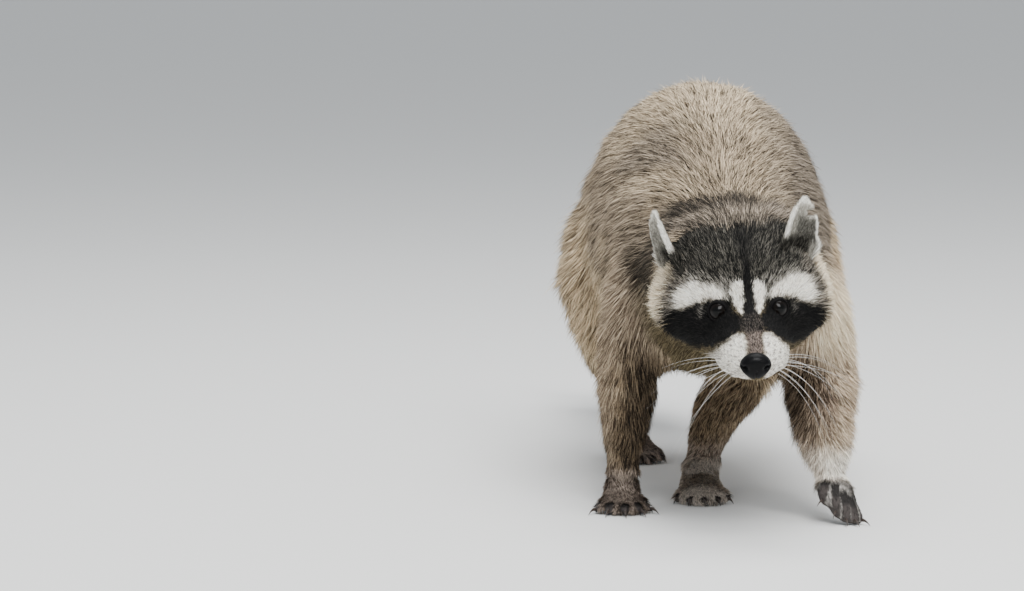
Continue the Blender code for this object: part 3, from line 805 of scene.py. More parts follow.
    def body(self, paint: Paint, places: Places) -> None:
        """Lays the back, the saddle, the flanks, the belly and the neck, with painted shade on the saddle,
        the left flank and under the neck, and a painted highlight on the chest's top.

        Args:
            paint: What is painted.
            places: The places.
        """
        blot = self.blots.at(places.spots)
        upward = places.normals[:, 2]
        rightward = -places.normals[:, 0]
        low, high = node_box("trunk")
        level = (places.points[:, 2] - low[2]) / (high[2] - low[2])
        up = face_height(places.head) + 3.0 * blot
        chest = places.part("chest")
        front = places.part("neck", "chest")
        paint.cover(MANE, np.clip(front, 0, 1))
        paint.cover(FLANK, ramp(upward + 0.12 * blot, 0.86, 0.45) * 0.9)
        # painted shade: the left flank darkened where the skin faces the animal's left
        paint.cover(PAINTED_SHADE_FLANK, ramp(-rightward, 0.25, 0.75) * ramp(upward, -0.1, 0.3) * 0.85)
        # painted shade on the right side of the back
        saddle = self.saddle.weight(rightward) * ramp(up, 103.0, 111.0)
        saddle *= ramp(places.spots[:, 1], -75.0, -115.0) * places.part("trunk", "chest")
        paint.cover(PAINTED_SHADE_FLANK, saddle * 0.7)
        # painted highlight: paler grizzled fur on the chest's top, off to the left
        paint.cover(GRIZZLED_AND_HIGHLIGHT, self.crest.weight(rightward) * chest * 0.25)
        paint.cover(GRIZZLED_AND_HIGHLIGHT, self.collar.weight(up) * ramp(rightward, 0.1, 0.4) * chest * 0.7)
        paint.cover(LOW_FLANK, ramp(upward + 0.1 * blot, 0.22, -0.15) * 0.9)
        paint.cover(BELLY, ramp(upward + 0.1 * blot, -0.35, -0.75))
        haunches = places.part("thigh_left", "thigh_right") + places.part("rump") * ramp(level, 0.5, 0.2)
        paint.cover(LOW_FLANK, haunches * ramp(level, 0.7, 0.4))
        # painted shade under the head: the neck and chest darker where they face down
        paint.cover(RUFF_AND_SHADE, front * ramp(upward, 0.3, -0.1) * 0.8)
        paint.cover(THROAT_AND_SHADE, front * ramp(upward, -0.1, -0.55) * 0.8)
        paint.share = np.clip(paint.share - 0.10 * blot + 0.06 * self.streaks.at(places.spots), 0.05, 0.95)

    def legs(self, paint: Paint, places: Places) -> None:
        """Lays the legs, paler outside than inside, the paws, and a painted shadow in the groove between the
        right arm and the neck.

        Args:
            paint: What is painted.
            places: The places.
        """
        height = places.spots[:, 2]
        leftward = places.normals[:, 0]
        for name in LEG_REGIONS:
            paint.cover(LEG, places.part(name) * ramp(places.part(name), 0.3, 0.8))
        # painted shadow in the groove between the right arm and the neck
        rays = (places.spots - np.array(self.groove_centre)) / np.array(self.groove_radii)
        paint.cover(BANDED_AND_SHADOW, ramp(np.linalg.norm(rays, axis=1), 1.2, 0.3) * 0.5)

        arm = places.part("upper_arm_left", "forearm_left")
        outer = ramp(ramp(leftward, 0.0, 0.5) + 0.2 * self.streaks.at(places.spots), 0.1, 0.8)
        inner = ramp(leftward - 0.35 * places.part("upper_arm_left"), -0.1, -0.6)
        paint.cover(LEG_BROWN, arm * ramp(height, 150.0, 110.0))
        paint.cover(LEG_PALE, arm * np.maximum(outer, ramp(height, 92.0, 58.0)) * (1.0 - 0.6 * inner))
        paint.cover(WRIST, places.part("forearm_left") * ramp(height, 62.0, 44.0) * (1.0 - 0.4 * inner))
        paint.cover(LEG_DARK, arm * inner * ramp(height, 40.0, 85.0) * 0.8)

        arm = places.part("upper_arm_right", "forearm_right")
        inner = np.maximum(ramp(leftward, -0.5, 0.1), ramp(height, 80.0, 55.0) * 0.6)
        outer = ramp(leftward, -0.3, -0.8) * (0.3 + 0.25 * ramp(height, 40.0, 80.0))
        paint.cover(LEG_DARK, arm * inner * 0.9)
        paint.cover(LEG_PALE, arm * outer)

        shanks = places.part("shank_left", "shank_right")
        paint.cover(LEG_DARK, shanks * ramp(self.blots.at(places.spots), 0.3, 0.8) * 0.4)
        paint.cover(SHANK, shanks * 0.7)
        paint.cover(FOOT, shanks * ramp(height, 46.0, 26.0) * 0.7)
        for name in PAW_REGIONS:
            paint.cover(HAND if name == "forepaw_left" else FOOT, places.part(name))
        paint.cover(WRIST, places.part("hindpaw_left") * 0.5)
        paint.cover(LEG_DARK, places.part("forepaw_right") * 0.5)

    def tail(self, paint: Paint, places: Places) -> None:
        """Lays the tail's rings and its dark tip.

        Args:
            paint: What is painted.
            places: The places.
        """
        tail = places.part(*TAIL_REGIONS)
        start, end = node_box("tail_base")[0][1] / MM, node_box("tail_tip")[1][1] / MM
        share = (places.spots[:, 1] - start) / (end - start)
        phase = share * self.tail_rings + 0.05 * self.streaks.at(places.spots)
        ring = ramp(np.cos(2 * math.pi * (phase - self.first_ring)), -0.05, 0.4)
        paint.cover(TAIL_PALE, tail)
        paint.cover(TAIL_DARK, tail * ring * ramp(phase, 0.2, 0.6))
        paint.cover(TAIL_DARK, tail * ramp(phase, self.tail_rings - 0.6, self.tail_rings - 0.45))

    def fore(self, paint: Paint, places: Places, edge: float) -> None:
        """Lays the rings, painted light on the left side of the neck, the face and the ears.

        Args:
            paint: What is painted.
            places: The places.
            edge: How ragged the face's edges are, in millimetres.
        """
        head = places.head
        face = ramp(places.part("head"), 0.15, 0.55)
        paint.cover(RUFF_AND_SHADE, face)
        self.rings(paint, head, np.clip(places.part("head", "neck", "chest"), 0, 1))
        # painted light: cream laid on the left side of the neck and the head
        lit = ramp(head[:, 0], 50.0, 62.0) * ramp(head[:, 1], 140.0, 112.0)
        lit *= self.lit_neck.weight(face_height(head))
        paint.cover(CREAM_AND_LIGHT, lit * np.clip(places.part("neck", "upper_arm_left", "head"), 0, 1) * 0.85)
        before = replace(paint)
        self.face(paint, head, edge)
        paint.only(face, before)
        for ear in EARS:
            self.ear(paint, places, ear)

    def at(self, places: Places, edge: float) -> Paint:
        """The paint at many places.

        Args:
            places: The places.
            edge: How ragged the edges of markings are, in millimetres.

        Returns:
            The paint.
        """
        paint = Paint.plain(GRIZZLED_AND_HIGHLIGHT, len(places.points))
        self.body(paint, places)
        self.legs(paint, places)
        self.tail(paint, places)
        self.fore(paint, places, edge)
        return paint


def mouth_height(along: Array) -> Array:
    """The height of the line between the lips at places along the muzzle, in the head's own millimetres."""
    return -22.5 - 0.16 * (along + 66.0)


@lru_cache(maxsize=None)
def heel_of(name: str) -> Array:
    """The middle of a paw's back end, in metres."""
    points, _ = mesh_arrays(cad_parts[name].data)
    return points[points[:, 1] > points[:, 1].max() - 8 * MM].mean(0)


# --- the skin ---


@dataclass
class SkinData:
    """The skin's mesh and what the coat needs to know at each of its points."""

    points: Array
    faces: Array
    weights: Array
    normals: Array
    lie: Array
    length: Array
    width: Array
    lift: Array
    growth: Array
    depth: Array

    def joined(self, other: "SkinData") -> "SkinData":
        """Joins another piece of skin behind this one.

        Args:
            other: The other piece.

        Returns:
            Both as one.
        """
        other = replace(other, faces=other.faces + len(self.points))
        names = [field.name for field in fields(self)]
        return SkinData(*(np.concatenate([getattr(self, name), getattr(other, name)]) for name in names))


# The mounds and hollows pressed into the face: where, how wide, and which way. Those off the midline are
# pressed on both sides.
FACE_FORMS = (
    ((15, -50, -15), 11.0, (1.6, -0.6, -0.4)),      # whisker pads
    ((17, -53, -25), 8.0, (-2.6, 0.4, 1.4)),        # under the pads
    ((18, 1, 12), 9.0, (0.3, -1.2, 1.2)),           # brows
    ((0, -14, 8), 9.0, (0.0, 0.8, -1.6)),           # the stop
    ((11, -26, 3), 7.0, (-0.9, 0.3, -0.7)),         # beside the bridge
)


@dataclass
class Skin:
    """One skin over the whole body, inside the solids by the coat's depth."""

    voxel: float = 2.7
    ear_voxel: float = 0.85
    swell: float = 0.45          # closes the thin cuts between the solids
    smoothing: int = 5
    shrink_steps: int = 5
    shrink_smoothing: float = 0.25
    lid_opening: tuple[float, float] = (57.0, 52.0)
    lid_reach: float = 46.0
    lid_thickness: float = 0.8
    rim_offset: float = 0.35        # the lids' rims: off the eyeball, and their half sizes
    rim_size: tuple[float, float] = (0.75, 1.1)
    rim_steps: int = 48
    rim_sides: int = 8
    ear_fullness: float = 0.22      # how much wider the ears' inner edges are than the solids'
    thin_depth: float = 0.5         # the coat's depth on the ears and the lids
    edge: float = 0.6               # how ragged its markings are
    shade: tuple[float, float] = (0.55, 0.85)       # its brightness beside the hair's, on body and face: darker underwool and painted shade under the coat
    lid_colour: Colour = (0.0035, 0.003, 0.003)

    def fused(self) -> tuple[Array, Array]:
        """The flesh nodes, the eyeballs and the nose as one smooth closed surface.

        Returns:
            Its points in metres and its triangles.
        """
        bm = bmesh.new()
        for name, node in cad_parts.items():
            if name.startswith("claw"):
                continue
            part = bmesh.new()
            part.from_mesh(node.data)
            bmesh.ops.remove_doubles(part, verts=part.verts, dist=SAME_POINT)
            if name.startswith("ear"):
                self.cut_to_root(part, name)
            part.normal_update()
            for vert in part.verts:
                vert.co += vert.normal * self.swell * MM
            mesh = bpy.data.meshes.new("part")
            part.to_mesh(mesh)
            part.free()
            bm.from_mesh(mesh)
            bpy.data.meshes.remove(mesh)
        obj = self.remeshed(bm, self.voxel, self.smoothing)
        bm = bmesh.new()
        bm.from_mesh(obj.data)
        self.refine(bm, self.near_face, 2)
        self.refine(bm, self.near_paws, 1)
        bmesh.ops.triangulate(bm, faces=bm.faces)
        bm.to_mesh(obj.data)
        bm.free()
        points, faces = mesh_arrays(obj.data)
        bpy.data.objects.remove(obj)
        return points, faces

    def cut_to_root(self, part: bmesh.types.BMesh, name: str) -> None:
        """Keeps only the foot of an ear, which fills its slit in the head.

        Args:
            part: The ear's mesh.
            name: Its CAD node.
        """
        ear = EARS[0] if name == "ear_left" else EARS[1]
        axes, root = ear.frame(SKULL)
        bmesh.ops.bisect_plane(
            part, geom=part.verts[:] + part.edges[:] + part.faces[:], plane_co=Vector(root),
            plane_no=Vector(axes[:, 2]), clear_outer=True,
        )
        bmesh.ops.holes_fill(part, edges=part.edges)

    def remeshed(self, bm: bmesh.types.BMesh, voxel: float, smoothing: int) -> bpy.types.Object:
        """Covers a rough mesh with an even, smoothed one.

        Args:
            bm: The rough mesh, which is freed.
            voxel: The size of the even mesh's faces, in millimetres.
            smoothing: How often it is smoothed.

        Returns:
            An object with the even mesh.
        """
        mesh = bpy.data.meshes.new("rough_skin")
        bm.to_mesh(mesh)
        bm.free()
        rough = linked("rough_skin", mesh)
        even = rough.modifiers.new("even", "REMESH")
        even.mode = "VOXEL"
        even.voxel_size = voxel * MM
        soft = rough.modifiers.new("soft", "SMOOTH")
        soft.iterations = smoothing
        made = bpy.data.meshes.new_from_object(rough.evaluated_get(bpy.context.evaluated_depsgraph_get()))
        bpy.data.objects.remove(rough)
        return linked("even_skin", made)

    def near_face(self, centres: Array) -> Array:
        """Which places lie on the face, from the nose to behind the eyes."""
        head = SKULL.inward(centres)
        return (head[:, 1] < 14.0) & (np.abs(head[:, 0]) < 38.0) & (head[:, 2] > -44.0)

    def near_paws(self, centres: Array) -> Array:
        """Which places lie on the toes, palms and soles."""
        found = np.zeros(len(centres), bool)
        for low, high in (node_box(name) for name in PAW_REGIONS):
            found |= ((centres > low - 4 * MM) & (centres < high + 4 * MM)).all(1)
        return found

    def refine(self, bm: bmesh.types.BMesh, wanted: Callable[[Array], Array], rounds: int) -> None:
        """Halves the edges of the wanted faces.

        Args:
            bm: The mesh.
            wanted: Tells which faces are refined, from their centres.
            rounds: How often their edges are halved.
        """
        for _ in range(rounds):
            centres = np.array([face.calc_center_median() for face in bm.faces])
            marked = np.flatnonzero(wanted(centres))
            bm.faces.ensure_lookup_table()
            edges = {edge for row in marked for edge in bm.faces[row].edges}
            bmesh.ops.subdivide_edges(bm, edges=list(edges), cuts=1, use_grid_fill=True)

    def build(self) -> SkinData:
        """Makes the skin's mesh and its fields.

        Returns:
            The data for the skin and the coat.
        """
        points, faces = self.fused()
        web = Neighbours.of(faces, len(points))
        weights = self.region_weights(points, web)
        depth = self.depths(points, weights, web)
        for _ in range(self.shrink_steps):
            normals = web.smooth(vertex_normals(points, faces), 2)
            points = points - unit(normals) * depth[:, None] * MM / self.shrink_steps
            points = web.smooth(points, 1, self.shrink_smoothing)
        points = self.sculpted(points)
        data = self.fields(Places(points, vertex_normals(points, faces), weights), faces, web, depth)
        for ear in EARS:
            data = self.with_ear(data, ear)
        return self.with_lids(data)

    def region_weights(self, points: Array, web: Neighbours) -> Array:
        """Says which regions the skin's points belong to, smoothed across their borders.

        Args:
            points: The points, in metres.
            web: The edges between them.

        Returns:
            How much of each region every point has.
        """
        corners, sides, owner = [], [], []
        for place, name in enumerate(NAMES):
            if name in EAR_REGIONS:
                continue
            own_points, own_faces = mesh_arrays(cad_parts[name].data)
            sides.extend((own_faces + len(corners)).tolist())
            corners.extend(own_points.tolist())
            owner.extend([place] * len(own_faces))
        tree = BVHTree.FromPolygons(corners, sides)
        weights = np.zeros((len(points), len(NAMES)))
        for row, point in enumerate(points):
            weights[row, owner[tree.find_nearest(point)[2]]] = 1.0
        return web.smooth(weights, 14, 0.6)

    def face_values(self, head: Array) -> tuple[Array, Array, Array, Array]:
        """The coat on the head, which grows longer from the nose back.

        Args:
            head: The places, in the head's own millimetres.

        Returns:
            Its depth, length, width and lift there.
        """
        up = face_height(head)
        back = ramp(head[:, 1], -45.0, 60.0)
        cheek = ramp(np.abs(head[:, 0]), 34.0, 56.0) * ramp(head[:, 1], -8.0, 20.0) * ramp(up, 24.0, 0.0)
        throat = ramp(head[:, 2], -26.0, -44.0) * ramp(head[:, 1], -40.0, 10.0)
        crown = ramp(head[:, 1], 10.0, 70.0)
        depth = 0.8 + 2.6 * back + 2.6 * crown + 3.2 * cheek + 2.0 * throat
        jaw = np.maximum(ramp(head[:, 2], -14.0, -22.0), ramp(np.abs(head[:, 0]), 19.0, 26.0))
        jaw *= ramp(head[:, 1], -64.0, -56.0) * ramp(head[:, 1], -22.0, -36.0)
        length = 2.6 + 5.6 * back + 6.5 * crown + 9.0 * cheek + 8.0 * throat + 2.6 * jaw
        width = 0.34 + 0.16 * back + 0.12 * crown + 0.12 * cheek
        lift = 13.0 + 9.0 * back + 4.0 * cheek + 3.0 * crown + 7.0 * jaw
        return depth, length, width, lift

    def depths(self, points: Array, weights: Array, web: Neighbours) -> Array:
        """The coat's depth at each point.

        Args:
            points: The points, in metres.
            weights: Their region weights.
            web: The edges between them.

        Returns:
            The depths, in millimetres.
        """
        plain = weights @ np.array([REGIONS[name].depth for name in NAMES])
        plain *= 1.0 - 0.5 * self.near_paw(points)
        share = weights[:, number("head")]
        own = self.face_values(SKULL.inward(points))[0]
        return web.smooth(plain + share * (own - REGIONS["head"].depth), 4)

    def sculpted(self, points: Array) -> Array:
        """Gives the face its eye sockets, lids, whisker pads, brows, stop and the line of the mouth.

        Args:
            points: The skin's points, in metres.

        Returns:
            The points where they then lie.
        """
        head = SKULL.inward(points)
        near = np.linalg.norm(head - np.array((0, -20, -10)), axis=1) < 90
        spots = head[near]
        for centre, radius, push in FACE_FORMS:
            for side in Side if centre[0] else (Side.LEFT,):
                flip = np.array((side.value, 1, 1))
                share = np.exp(-(((spots - np.array(centre) * flip) / radius) ** 2).sum(1))
                spots = spots + share[:, None] * np.array(push) * flip
        line = np.exp(-(((spots[:, 2] - mouth_height(spots[:, 1])) / 1.3) ** 2))
        line *= ramp(spots[:, 1], -26.0, -34.0)
        spots[:, 0] *= 1.0 - 0.07 * line
        spots[:, 1] += 1.2 * line * ramp(spots[:, 1], -52.0, -60.0)
        for side in Side:
            spots = self.around_eye(spots, side)
        rays = (spots - np.array(NOSE_PLACE)) / np.array((10.2, 9.0, 8.8))
        behind = ramp(np.linalg.norm(rays, axis=1), 1.05, 0.85) * ramp(spots[:, 1], -58.0, -63.0)
        spots[:, 1] += 9.0 * behind
        head[near] = spots
        return SKULL.outward(head)

    def eye_axes(self, side: Side) -> tuple[Array, Array, Array, Array]:
        """How an eye stands in the head.

        Args:
            side: Which eye.

        Returns:
            Its centre, the way it looks, and the axes across and up its opening.
        """
        flip = np.array((side.value, 1, 1))
        centre = np.array(EYE_PLACE) * flip
        ahead = unit(np.array(EYE_AXIS) * flip)
        across = unit(np.cross(ahead, np.array((0.0, 0.0, 1.0))))
        return centre, ahead, across, np.cross(across, ahead)

    def opening(self, round_angle: Array) -> Array:
        """The lids' opening, in degrees from the way the eye looks, at angles round it."""
        wide, high = self.lid_opening
        return 1.0 / np.sqrt((np.cos(round_angle) / wide) ** 2 + (np.sin(round_angle) / high) ** 2)

    def round_eye(self, spots: Array, side: Side) -> tuple[Array, Array, Array]:
        """Where places lie round an eye.

        Args:
            spots: The places, in the head's own millimetres.
            side: Which eye.

        Returns:
            Their distance from its centre, their angle off the way it looks, and the angle of the lids' edge
            on that side, in degrees.
        """
        centre, ahead, across, above = self.eye_axes(side)
        rays = spots - centre
        reach = np.linalg.norm(rays, axis=1)
        lean = np.degrees(np.arccos(np.clip(rays @ ahead / np.maximum(reach, 1e-6), -1, 1)))
        return reach, lean, self.opening(np.arctan2(rays @ above, rays @ across))

    def around_eye(self, spots: Array, side: Side) -> Array:
        """Draws the skin in behind the eyeball's front and over its sides, as lids.

        Args:
            spots: The skin's points, in the head's own millimetres.
            side: Which eye.

        Returns:
            The points where they then lie.
        """
        centre = self.eye_axes(side)[0]
        reach, lean, edge = self.round_eye(spots, side)
        outside = ramp(lean - edge, 0.0, self.lid_reach)
        hug = EYE_RADIUS + self.lid_thickness + 4.5 * outside**1.5
        drawn = mix(hug, reach, outside)
        drawn = np.where(outside < 1.0, np.maximum(drawn, EYE_RADIUS + self.lid_thickness), reach)
        drawn = np.where(lean < edge - 2.0, EYE_RADIUS - 1.6, drawn)
        touched = (reach < EYE_RADIUS + 14.0) & (lean < 120.0)
        target = np.where(touched, drawn, reach)
        return centre + (spots - centre) * (target / np.maximum(reach, 1e-6))[:, None]

    def fields(self, places: Places, faces: Array, web: Neighbours, depth: Array) -> SkinData:
        """What the coat needs at each point of the body's skin.

        Args:
            places: The skin's points.
            faces: Its triangles.
            web: Its edges.
            depth: The coat's depth at its points.

        Returns:
            The body's skin.
        """
        points, normals, weights = places.points, places.normals, places.weights
        share = places.part("head")
        own = self.face_values(places.head)[1:]
        table = np.array([(region.length, region.width, region.lift) for region in REGIONS.values()])
        plain = weights @ table
        head_row = table[number("head")]
        length, width, lift = (plain[:, k] + share * (own[k] - head_row[k]) for k in range(3))
        near_paw = self.near_paw(points) * (1.0 - np.clip(places.part(*PAW_REGIONS), 0, 1))
        length *= 1.0 - 0.5 * near_paw
        lift *= 1.0 - 0.3 * near_paw
        lie = self.lies(places)
        lie -= normals * (lie * normals).sum(1)[:, None]
        lie = web.smooth(unit(lie), 6)
        growth = self.growth(places)
        return SkinData(points, faces, weights, normals, lie, length, width, lift, growth, depth)

    def near_paw(self, points: Array) -> Array:
        """How near places are to the top of a paw, from 0 to 1."""
        found = np.zeros(len(points))
        for name in PAW_REGIONS:
            reach = np.linalg.norm(points - heel_of(name), axis=1) / MM
            found = np.maximum(found, ramp(reach, 52.0, 14.0))
        return found

    def lies(self, places: Places) -> Array:
        """The way the hair points, before it is laid on the skin.

        Args:
            places: The skin's points.

        Returns:
            One direction for each.
        """
        points, head = places.points, places.head
        total = np.zeros_like(points)
        for place, name in enumerate(NAMES):
            region = REGIONS[name]
            plain = self.long_axis(name) if region.lie is None else unit(np.array(region.lie))
            way = np.tile(plain, (len(points), 1))
            if name in ("neck", "chest", "trunk", "rump"):
                middle = (node_box(name)[0][0] + node_box(name)[1][0]) / 2
                spread = 0.5 if name == "neck" else 0.22
                way[:, 0] += spread * np.clip((points[:, 0] - middle) / 0.06, -1, 1)
                way[:, 2] -= 0.75 * ramp(np.abs(points[:, 0] - middle), 0.03, 0.09)
            if name == "head":
                rays = unit(head - np.array((0.0, -72.0, -12.0)))
                rays[:, 2] -= 0.45 * ramp(np.abs(head[:, 0]), 26.0, 50.0) * ramp(head[:, 2], 20.0, -5.0)
                way = unit(rays) @ SKULL.turn.T
            total += places.weights[:, place, None] * unit(way)
        return total

    def long_axis(self, name: str) -> Array:
        """The direction in which a region is longest, from the body outwards."""
        points, _ = mesh_arrays(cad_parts[name].data)
        _, _, axes = np.linalg.svd(points - points.mean(0), full_matrices=False)
        return axes[0] * math.copysign(1.0, axes[0] @ np.array(REGIONS[name].distal))

    def growth(self, places: Places) -> Array:
        """How thickly hair grows: not at all on the eyes, the nose pad and the soles.

        Args:
            places: The skin's points.

        Returns:
            Numbers from 0, about 1 on the body.
        """
        head = places.head
        grown = np.ones(len(head))
        for side in Side:
            reach, lean, edge = self.round_eye(head, side)
            grown *= np.where(reach < EYE_RADIUS + 5.0, ramp(lean - edge, 7.0, 14.0), 1.0)
        nose = np.linalg.norm((head - np.array(NOSE_PLACE)) / np.array((11.0, 8.0, 9.5)), axis=1)
        grown *= ramp(nose, 0.97, 1.12)
        grown *= 1.0 + places.part("head") * (1.4 * ramp(head[:, 1], 30.0, -20.0))
        tops = 1.5 * ramp(places.normals[:, 2], -0.3, 0.1)
        grown *= mix(np.ones(len(head)), tops, ramp(places.part(*PAW_REGIONS), 0.3, 0.7))
        return grown * ramp(places.points[:, 2], 0.0015, 0.004)

    def with_ear(self, data: SkinData, ear: Ear) -> SkinData:
        """Joins an ear to the skin.

        Args:
            data: The skin.
            ear: The ear.

        Returns:
            Both as one.
        """
        name = "ear_" + ear.side.word
        bm = bmesh.new()
        bm.from_mesh(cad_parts[name].data)
        bmesh.ops.remove_doubles(bm, verts=bm.verts, dist=SAME_POINT)
        obj = self.remeshed(bm, self.ear_voxel, 6)
        points, faces = mesh_arrays(obj.data)
        bpy.data.objects.remove(obj)
        normals = vertex_normals(points, faces)
        web = Neighbours.of(faces, len(points))
        normals = unit(web.smooth(normals, 3))
        own = ear.inward(SKULL, points)
        axes, root = ear.frame(SKULL)
        own[:, 2] *= 0.95
        share = own[:, 2] / ear.height
        inner = ramp(-ear.side.value * own[:, 0], 0.0, 8.0) * np.sin(math.pi * np.clip(share, 0.0, 1.0))
        own[:, 0] *= 1.0 + self.ear_fullness * inner
        points = own @ axes.T * MM + root
        weights = np.zeros((len(points), len(NAMES)))
        weights[:, number(name)] = 1.0
        lie = np.tile(axes[:, 2], (len(points), 1)) + np.outer(ear.side.value * own[:, 0] / 40.0, axes[:, 0])
        lie -= normals * (lie * normals).sum(1)[:, None]
        region = REGIONS[name]
        plain = (region.width, region.lift, self.thin_depth)
        width, lift, depth = (np.full(len(points), value) for value in plain)
        length = region.length + 6.0 * ramp(share, 0.35, 0.0)
        growth = 2.2 * ramp(share, -0.06, 0.02)
        lie = unit(lie)
        part = SkinData(points, faces, weights, normals, lie, length, width, lift, growth, depth)
        return data.joined(part)

    def with_lids(self, data: SkinData) -> SkinData:
        """Joins the lids' rolled rims to the skin.

        Args:
            data: The skin.

        Returns:
            Both as one.
        """
        steps, sides = self.rim_steps, self.rim_sides
        for side in Side:
            centre, ahead, across, above = self.eye_axes(side)
            rows = []
            for step in range(steps):
                angle = 2 * math.pi * step / steps
                lean = math.radians(float(self.opening(np.array(angle))) + 1.0)
                away = across * math.cos(angle) + above * math.sin(angle)
                out = ahead * math.cos(lean) + away * math.sin(lean)
                along = away * math.cos(lean) - ahead * math.sin(lean)
                for turn in range(sides):
                    roll = 2 * math.pi * turn / sides
                    reach = EYE_RADIUS + self.rim_offset + self.rim_size[0] * math.cos(roll)
                    rows.append(centre + out * reach + along * self.rim_size[1] * math.sin(roll))
            grid = np.arange(steps * sides).reshape(steps, sides)
            following = np.roll(grid, -1, axis=0)
            quads = np.stack([grid, np.roll(grid, -1, 1), np.roll(following, -1, 1), following], -1)
            quads = quads.reshape(-1, 4)
            faces = np.concatenate([quads[:, :3], quads[:, [0, 2, 3]]])
            points = SKULL.outward(np.array(rows))
            ring_middle = points.reshape(steps, sides, 3).mean(1).repeat(sides, 0)
            if ((vertex_normals(points, faces) * (points - ring_middle)).sum(1)).mean() < 0:
                faces = faces[:, ::-1]
            weights = np.zeros((len(points), len(NAMES)))
            weights[:, number("head")] = 1.0
            normals = vertex_normals(points, faces)
            depth = np.full(len(points), self.thin_depth)
            bare = (np.zeros(len(points)),) * 4
            data = data.joined(SkinData(points, faces, weights, normals, normals, *bare, depth))
        return data

    def dress(self, data: SkinData, markings: Markings, toes: "Toes") -> bpy.types.Object:
        """Makes the skin's object, paints it and puts it in place of the flesh nodes.

        Args:
            data: The skin.
            markings: Its colours.
            toes: Where the paws are bare.

        Returns:
            The object.
        """
        obj = object_from_arrays("skin", data.points, data.faces)
        places = Places(data.points, data.normals, data.weights)
        # painted shade: the skin is darker than the hair's mean colour, for its darker underwool and the
        # shadow under the coat
        body_painted_shade, face_painted_shade = self.shade
        shade = body_painted_shade + (face_painted_shade - body_painted_shade) * ramp(places.head[:, 1], 40.0, 20.0)
        colours = markings.at(places, self.edge).mean() * shade[:, None]
        for side in Side:
            reach = np.linalg.norm(places.head - self.eye_axes(side)[0], axis=1)
            lids = ramp(reach, EYE_RADIUS + 4.0, EYE_RADIUS + 2.0)
            colours = mix(colours, np.array(self.lid_colour), lids)
        colours = toes.paint_skin(colours, data)
        set_colours(obj.data, colours)
        obj.data.materials.append(UNDERWOOL.material())
        flesh = [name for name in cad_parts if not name.startswith(("eye", "claw", "nose"))]
        return finish_piece(obj, "grizzled_coat", *flesh)


@dataclass
class Toes:
    """The bare leathery toes and pads of the four paws, in millimetres.

    The lifted forepaw has dark stripes down its back along the toes, in place of short bare toes.
    """

    length: float = 10.0
    radius: float = 3.7
    hind_length: float = 4.0
    hind_radius: float = 2.7
    stripe_length: float = 22.0
    stripe_half_width: float = 3.1
    stripe_fade: float = 6.0
    stripe_aim: float = 1.6         # how nearly parallel the stripes run
    lifted_back: tuple[float, float, float] = (0.25, -0.75, 0.6)    # the way that paw's back faces
    leather: Colour = (0.022, 0.020, 0.019)
    pad: Colour = (0.075, 0.064, 0.060)
    sole_brightness: float = 1.2
    tip_paleness: float = 0.75

    def bareness(self, points: Array, weights: Array) -> tuple[Array, Array]:
        """How bare places are.

        Args:
            points: The places, in metres.
            weights: Their region weights.

        Returns:
            How bare, and how near a toe's tip, each from 0 to 1.
        """
        bare = np.zeros(len(points))
        tips = np.zeros(len(points))
        sizes = {"fore": (self.length, self.radius), "hind": (self.hind_length, self.hind_radius)}
        for limb, (length, radius) in sizes.items():
            for side in Side:
                name = f"{limb}paw_{side.word}"
                heel = heel_of(name)
                paw = ramp(weights[:, number(name)], 0.2, 0.6)
                boxes = [node_box(f"claw_{limb}_{side.word}_{toe}") for toe in range(1, 6)]
                roots = [np.array(((low[0] + high[0]) / 2, high[1], high[2])) for low, high in boxes]
                mean_way = unit(heel - np.mean(roots, 0))
                for root in roots:
                    rays = points - root
                    way = unit(heel - root)
                    if name == "forepaw_left":
                        way = unit(way + self.stripe_aim * mean_way)
                    along = np.clip(rays @ way, -0.004, length * MM)
                    gap = np.linalg.norm(rays - along[:, None] * way, axis=1) / MM
                    near = ramp(gap, radius + 1.4, radius - 0.8)
                    if name == "forepaw_left":
                        near = np.maximum(near, self.stripe(rays, way))
                    near = near * paw
                    bare = np.maximum(bare, near)
                    tips = np.maximum(tips, near * ramp(rays @ way / MM, 9.0, 3.0))
        return bare, tips

    def stripe(self, rays: Array, way: Array) -> Array:
        """How much of one toe's stripe lies on the lifted paw's back.

        Args:
            rays: Places from the toe's root, in metres.
            way: The way the stripe runs.

        Returns:
            Numbers from 0 to 1.
        """
        across = unit(np.cross(way, np.array(self.lifted_back)))
        beside = ramp(np.abs(rays @ across) / MM, self.stripe_half_width + 0.9, self.stripe_half_width - 0.5)
        return beside * ramp(rays @ way / MM, self.stripe_length, self.stripe_length - self.stripe_fade)

    def paint_skin(self, colours: Array, data: SkinData) -> Array:
        """Lays dark leather on the toes and soles, and paler pads.

        Args:
            colours: The skin's colours.
            data: The skin.

        Returns:
            The new colours.
        """
        leather = np.array(self.leather)
        bare, tips = self.bareness(data.points, data.weights)
        colours = mix(colours, leather, bare)
        under = ramp(data.normals[:, 2], -0.2, -0.6) * ramp(share_of(data.weights, *PAW_REGIONS), 0.3, 0.7)
        colours = mix(colours, leather * self.sole_brightness, under)
        return mix(colours, np.array(self.pad), tips * self.tip_paleness)


# --- finishes ---


def add_node(tree: bpy.types.NodeTree, kind: str, **values: object) -> bpy.types.Node:
    """Adds a node to a tree.

    Args:
        tree: The tree.
        kind: The node's type.
        values: Its properties, and a value or a socket to join for each input by its name, or by its place
            as in0 and in1.

    Returns:
        The node.
    """
    made = tree.nodes.new(kind)
    for label, value in values.items():
        if hasattr(made, label):
            setattr(made, label, value)
        else:
            by_place = label.startswith("in") and label[2:].isdigit()
            fill(tree, made.inputs[int(label[2:]) if by_place else label.replace("_", " ")], value)
    return made


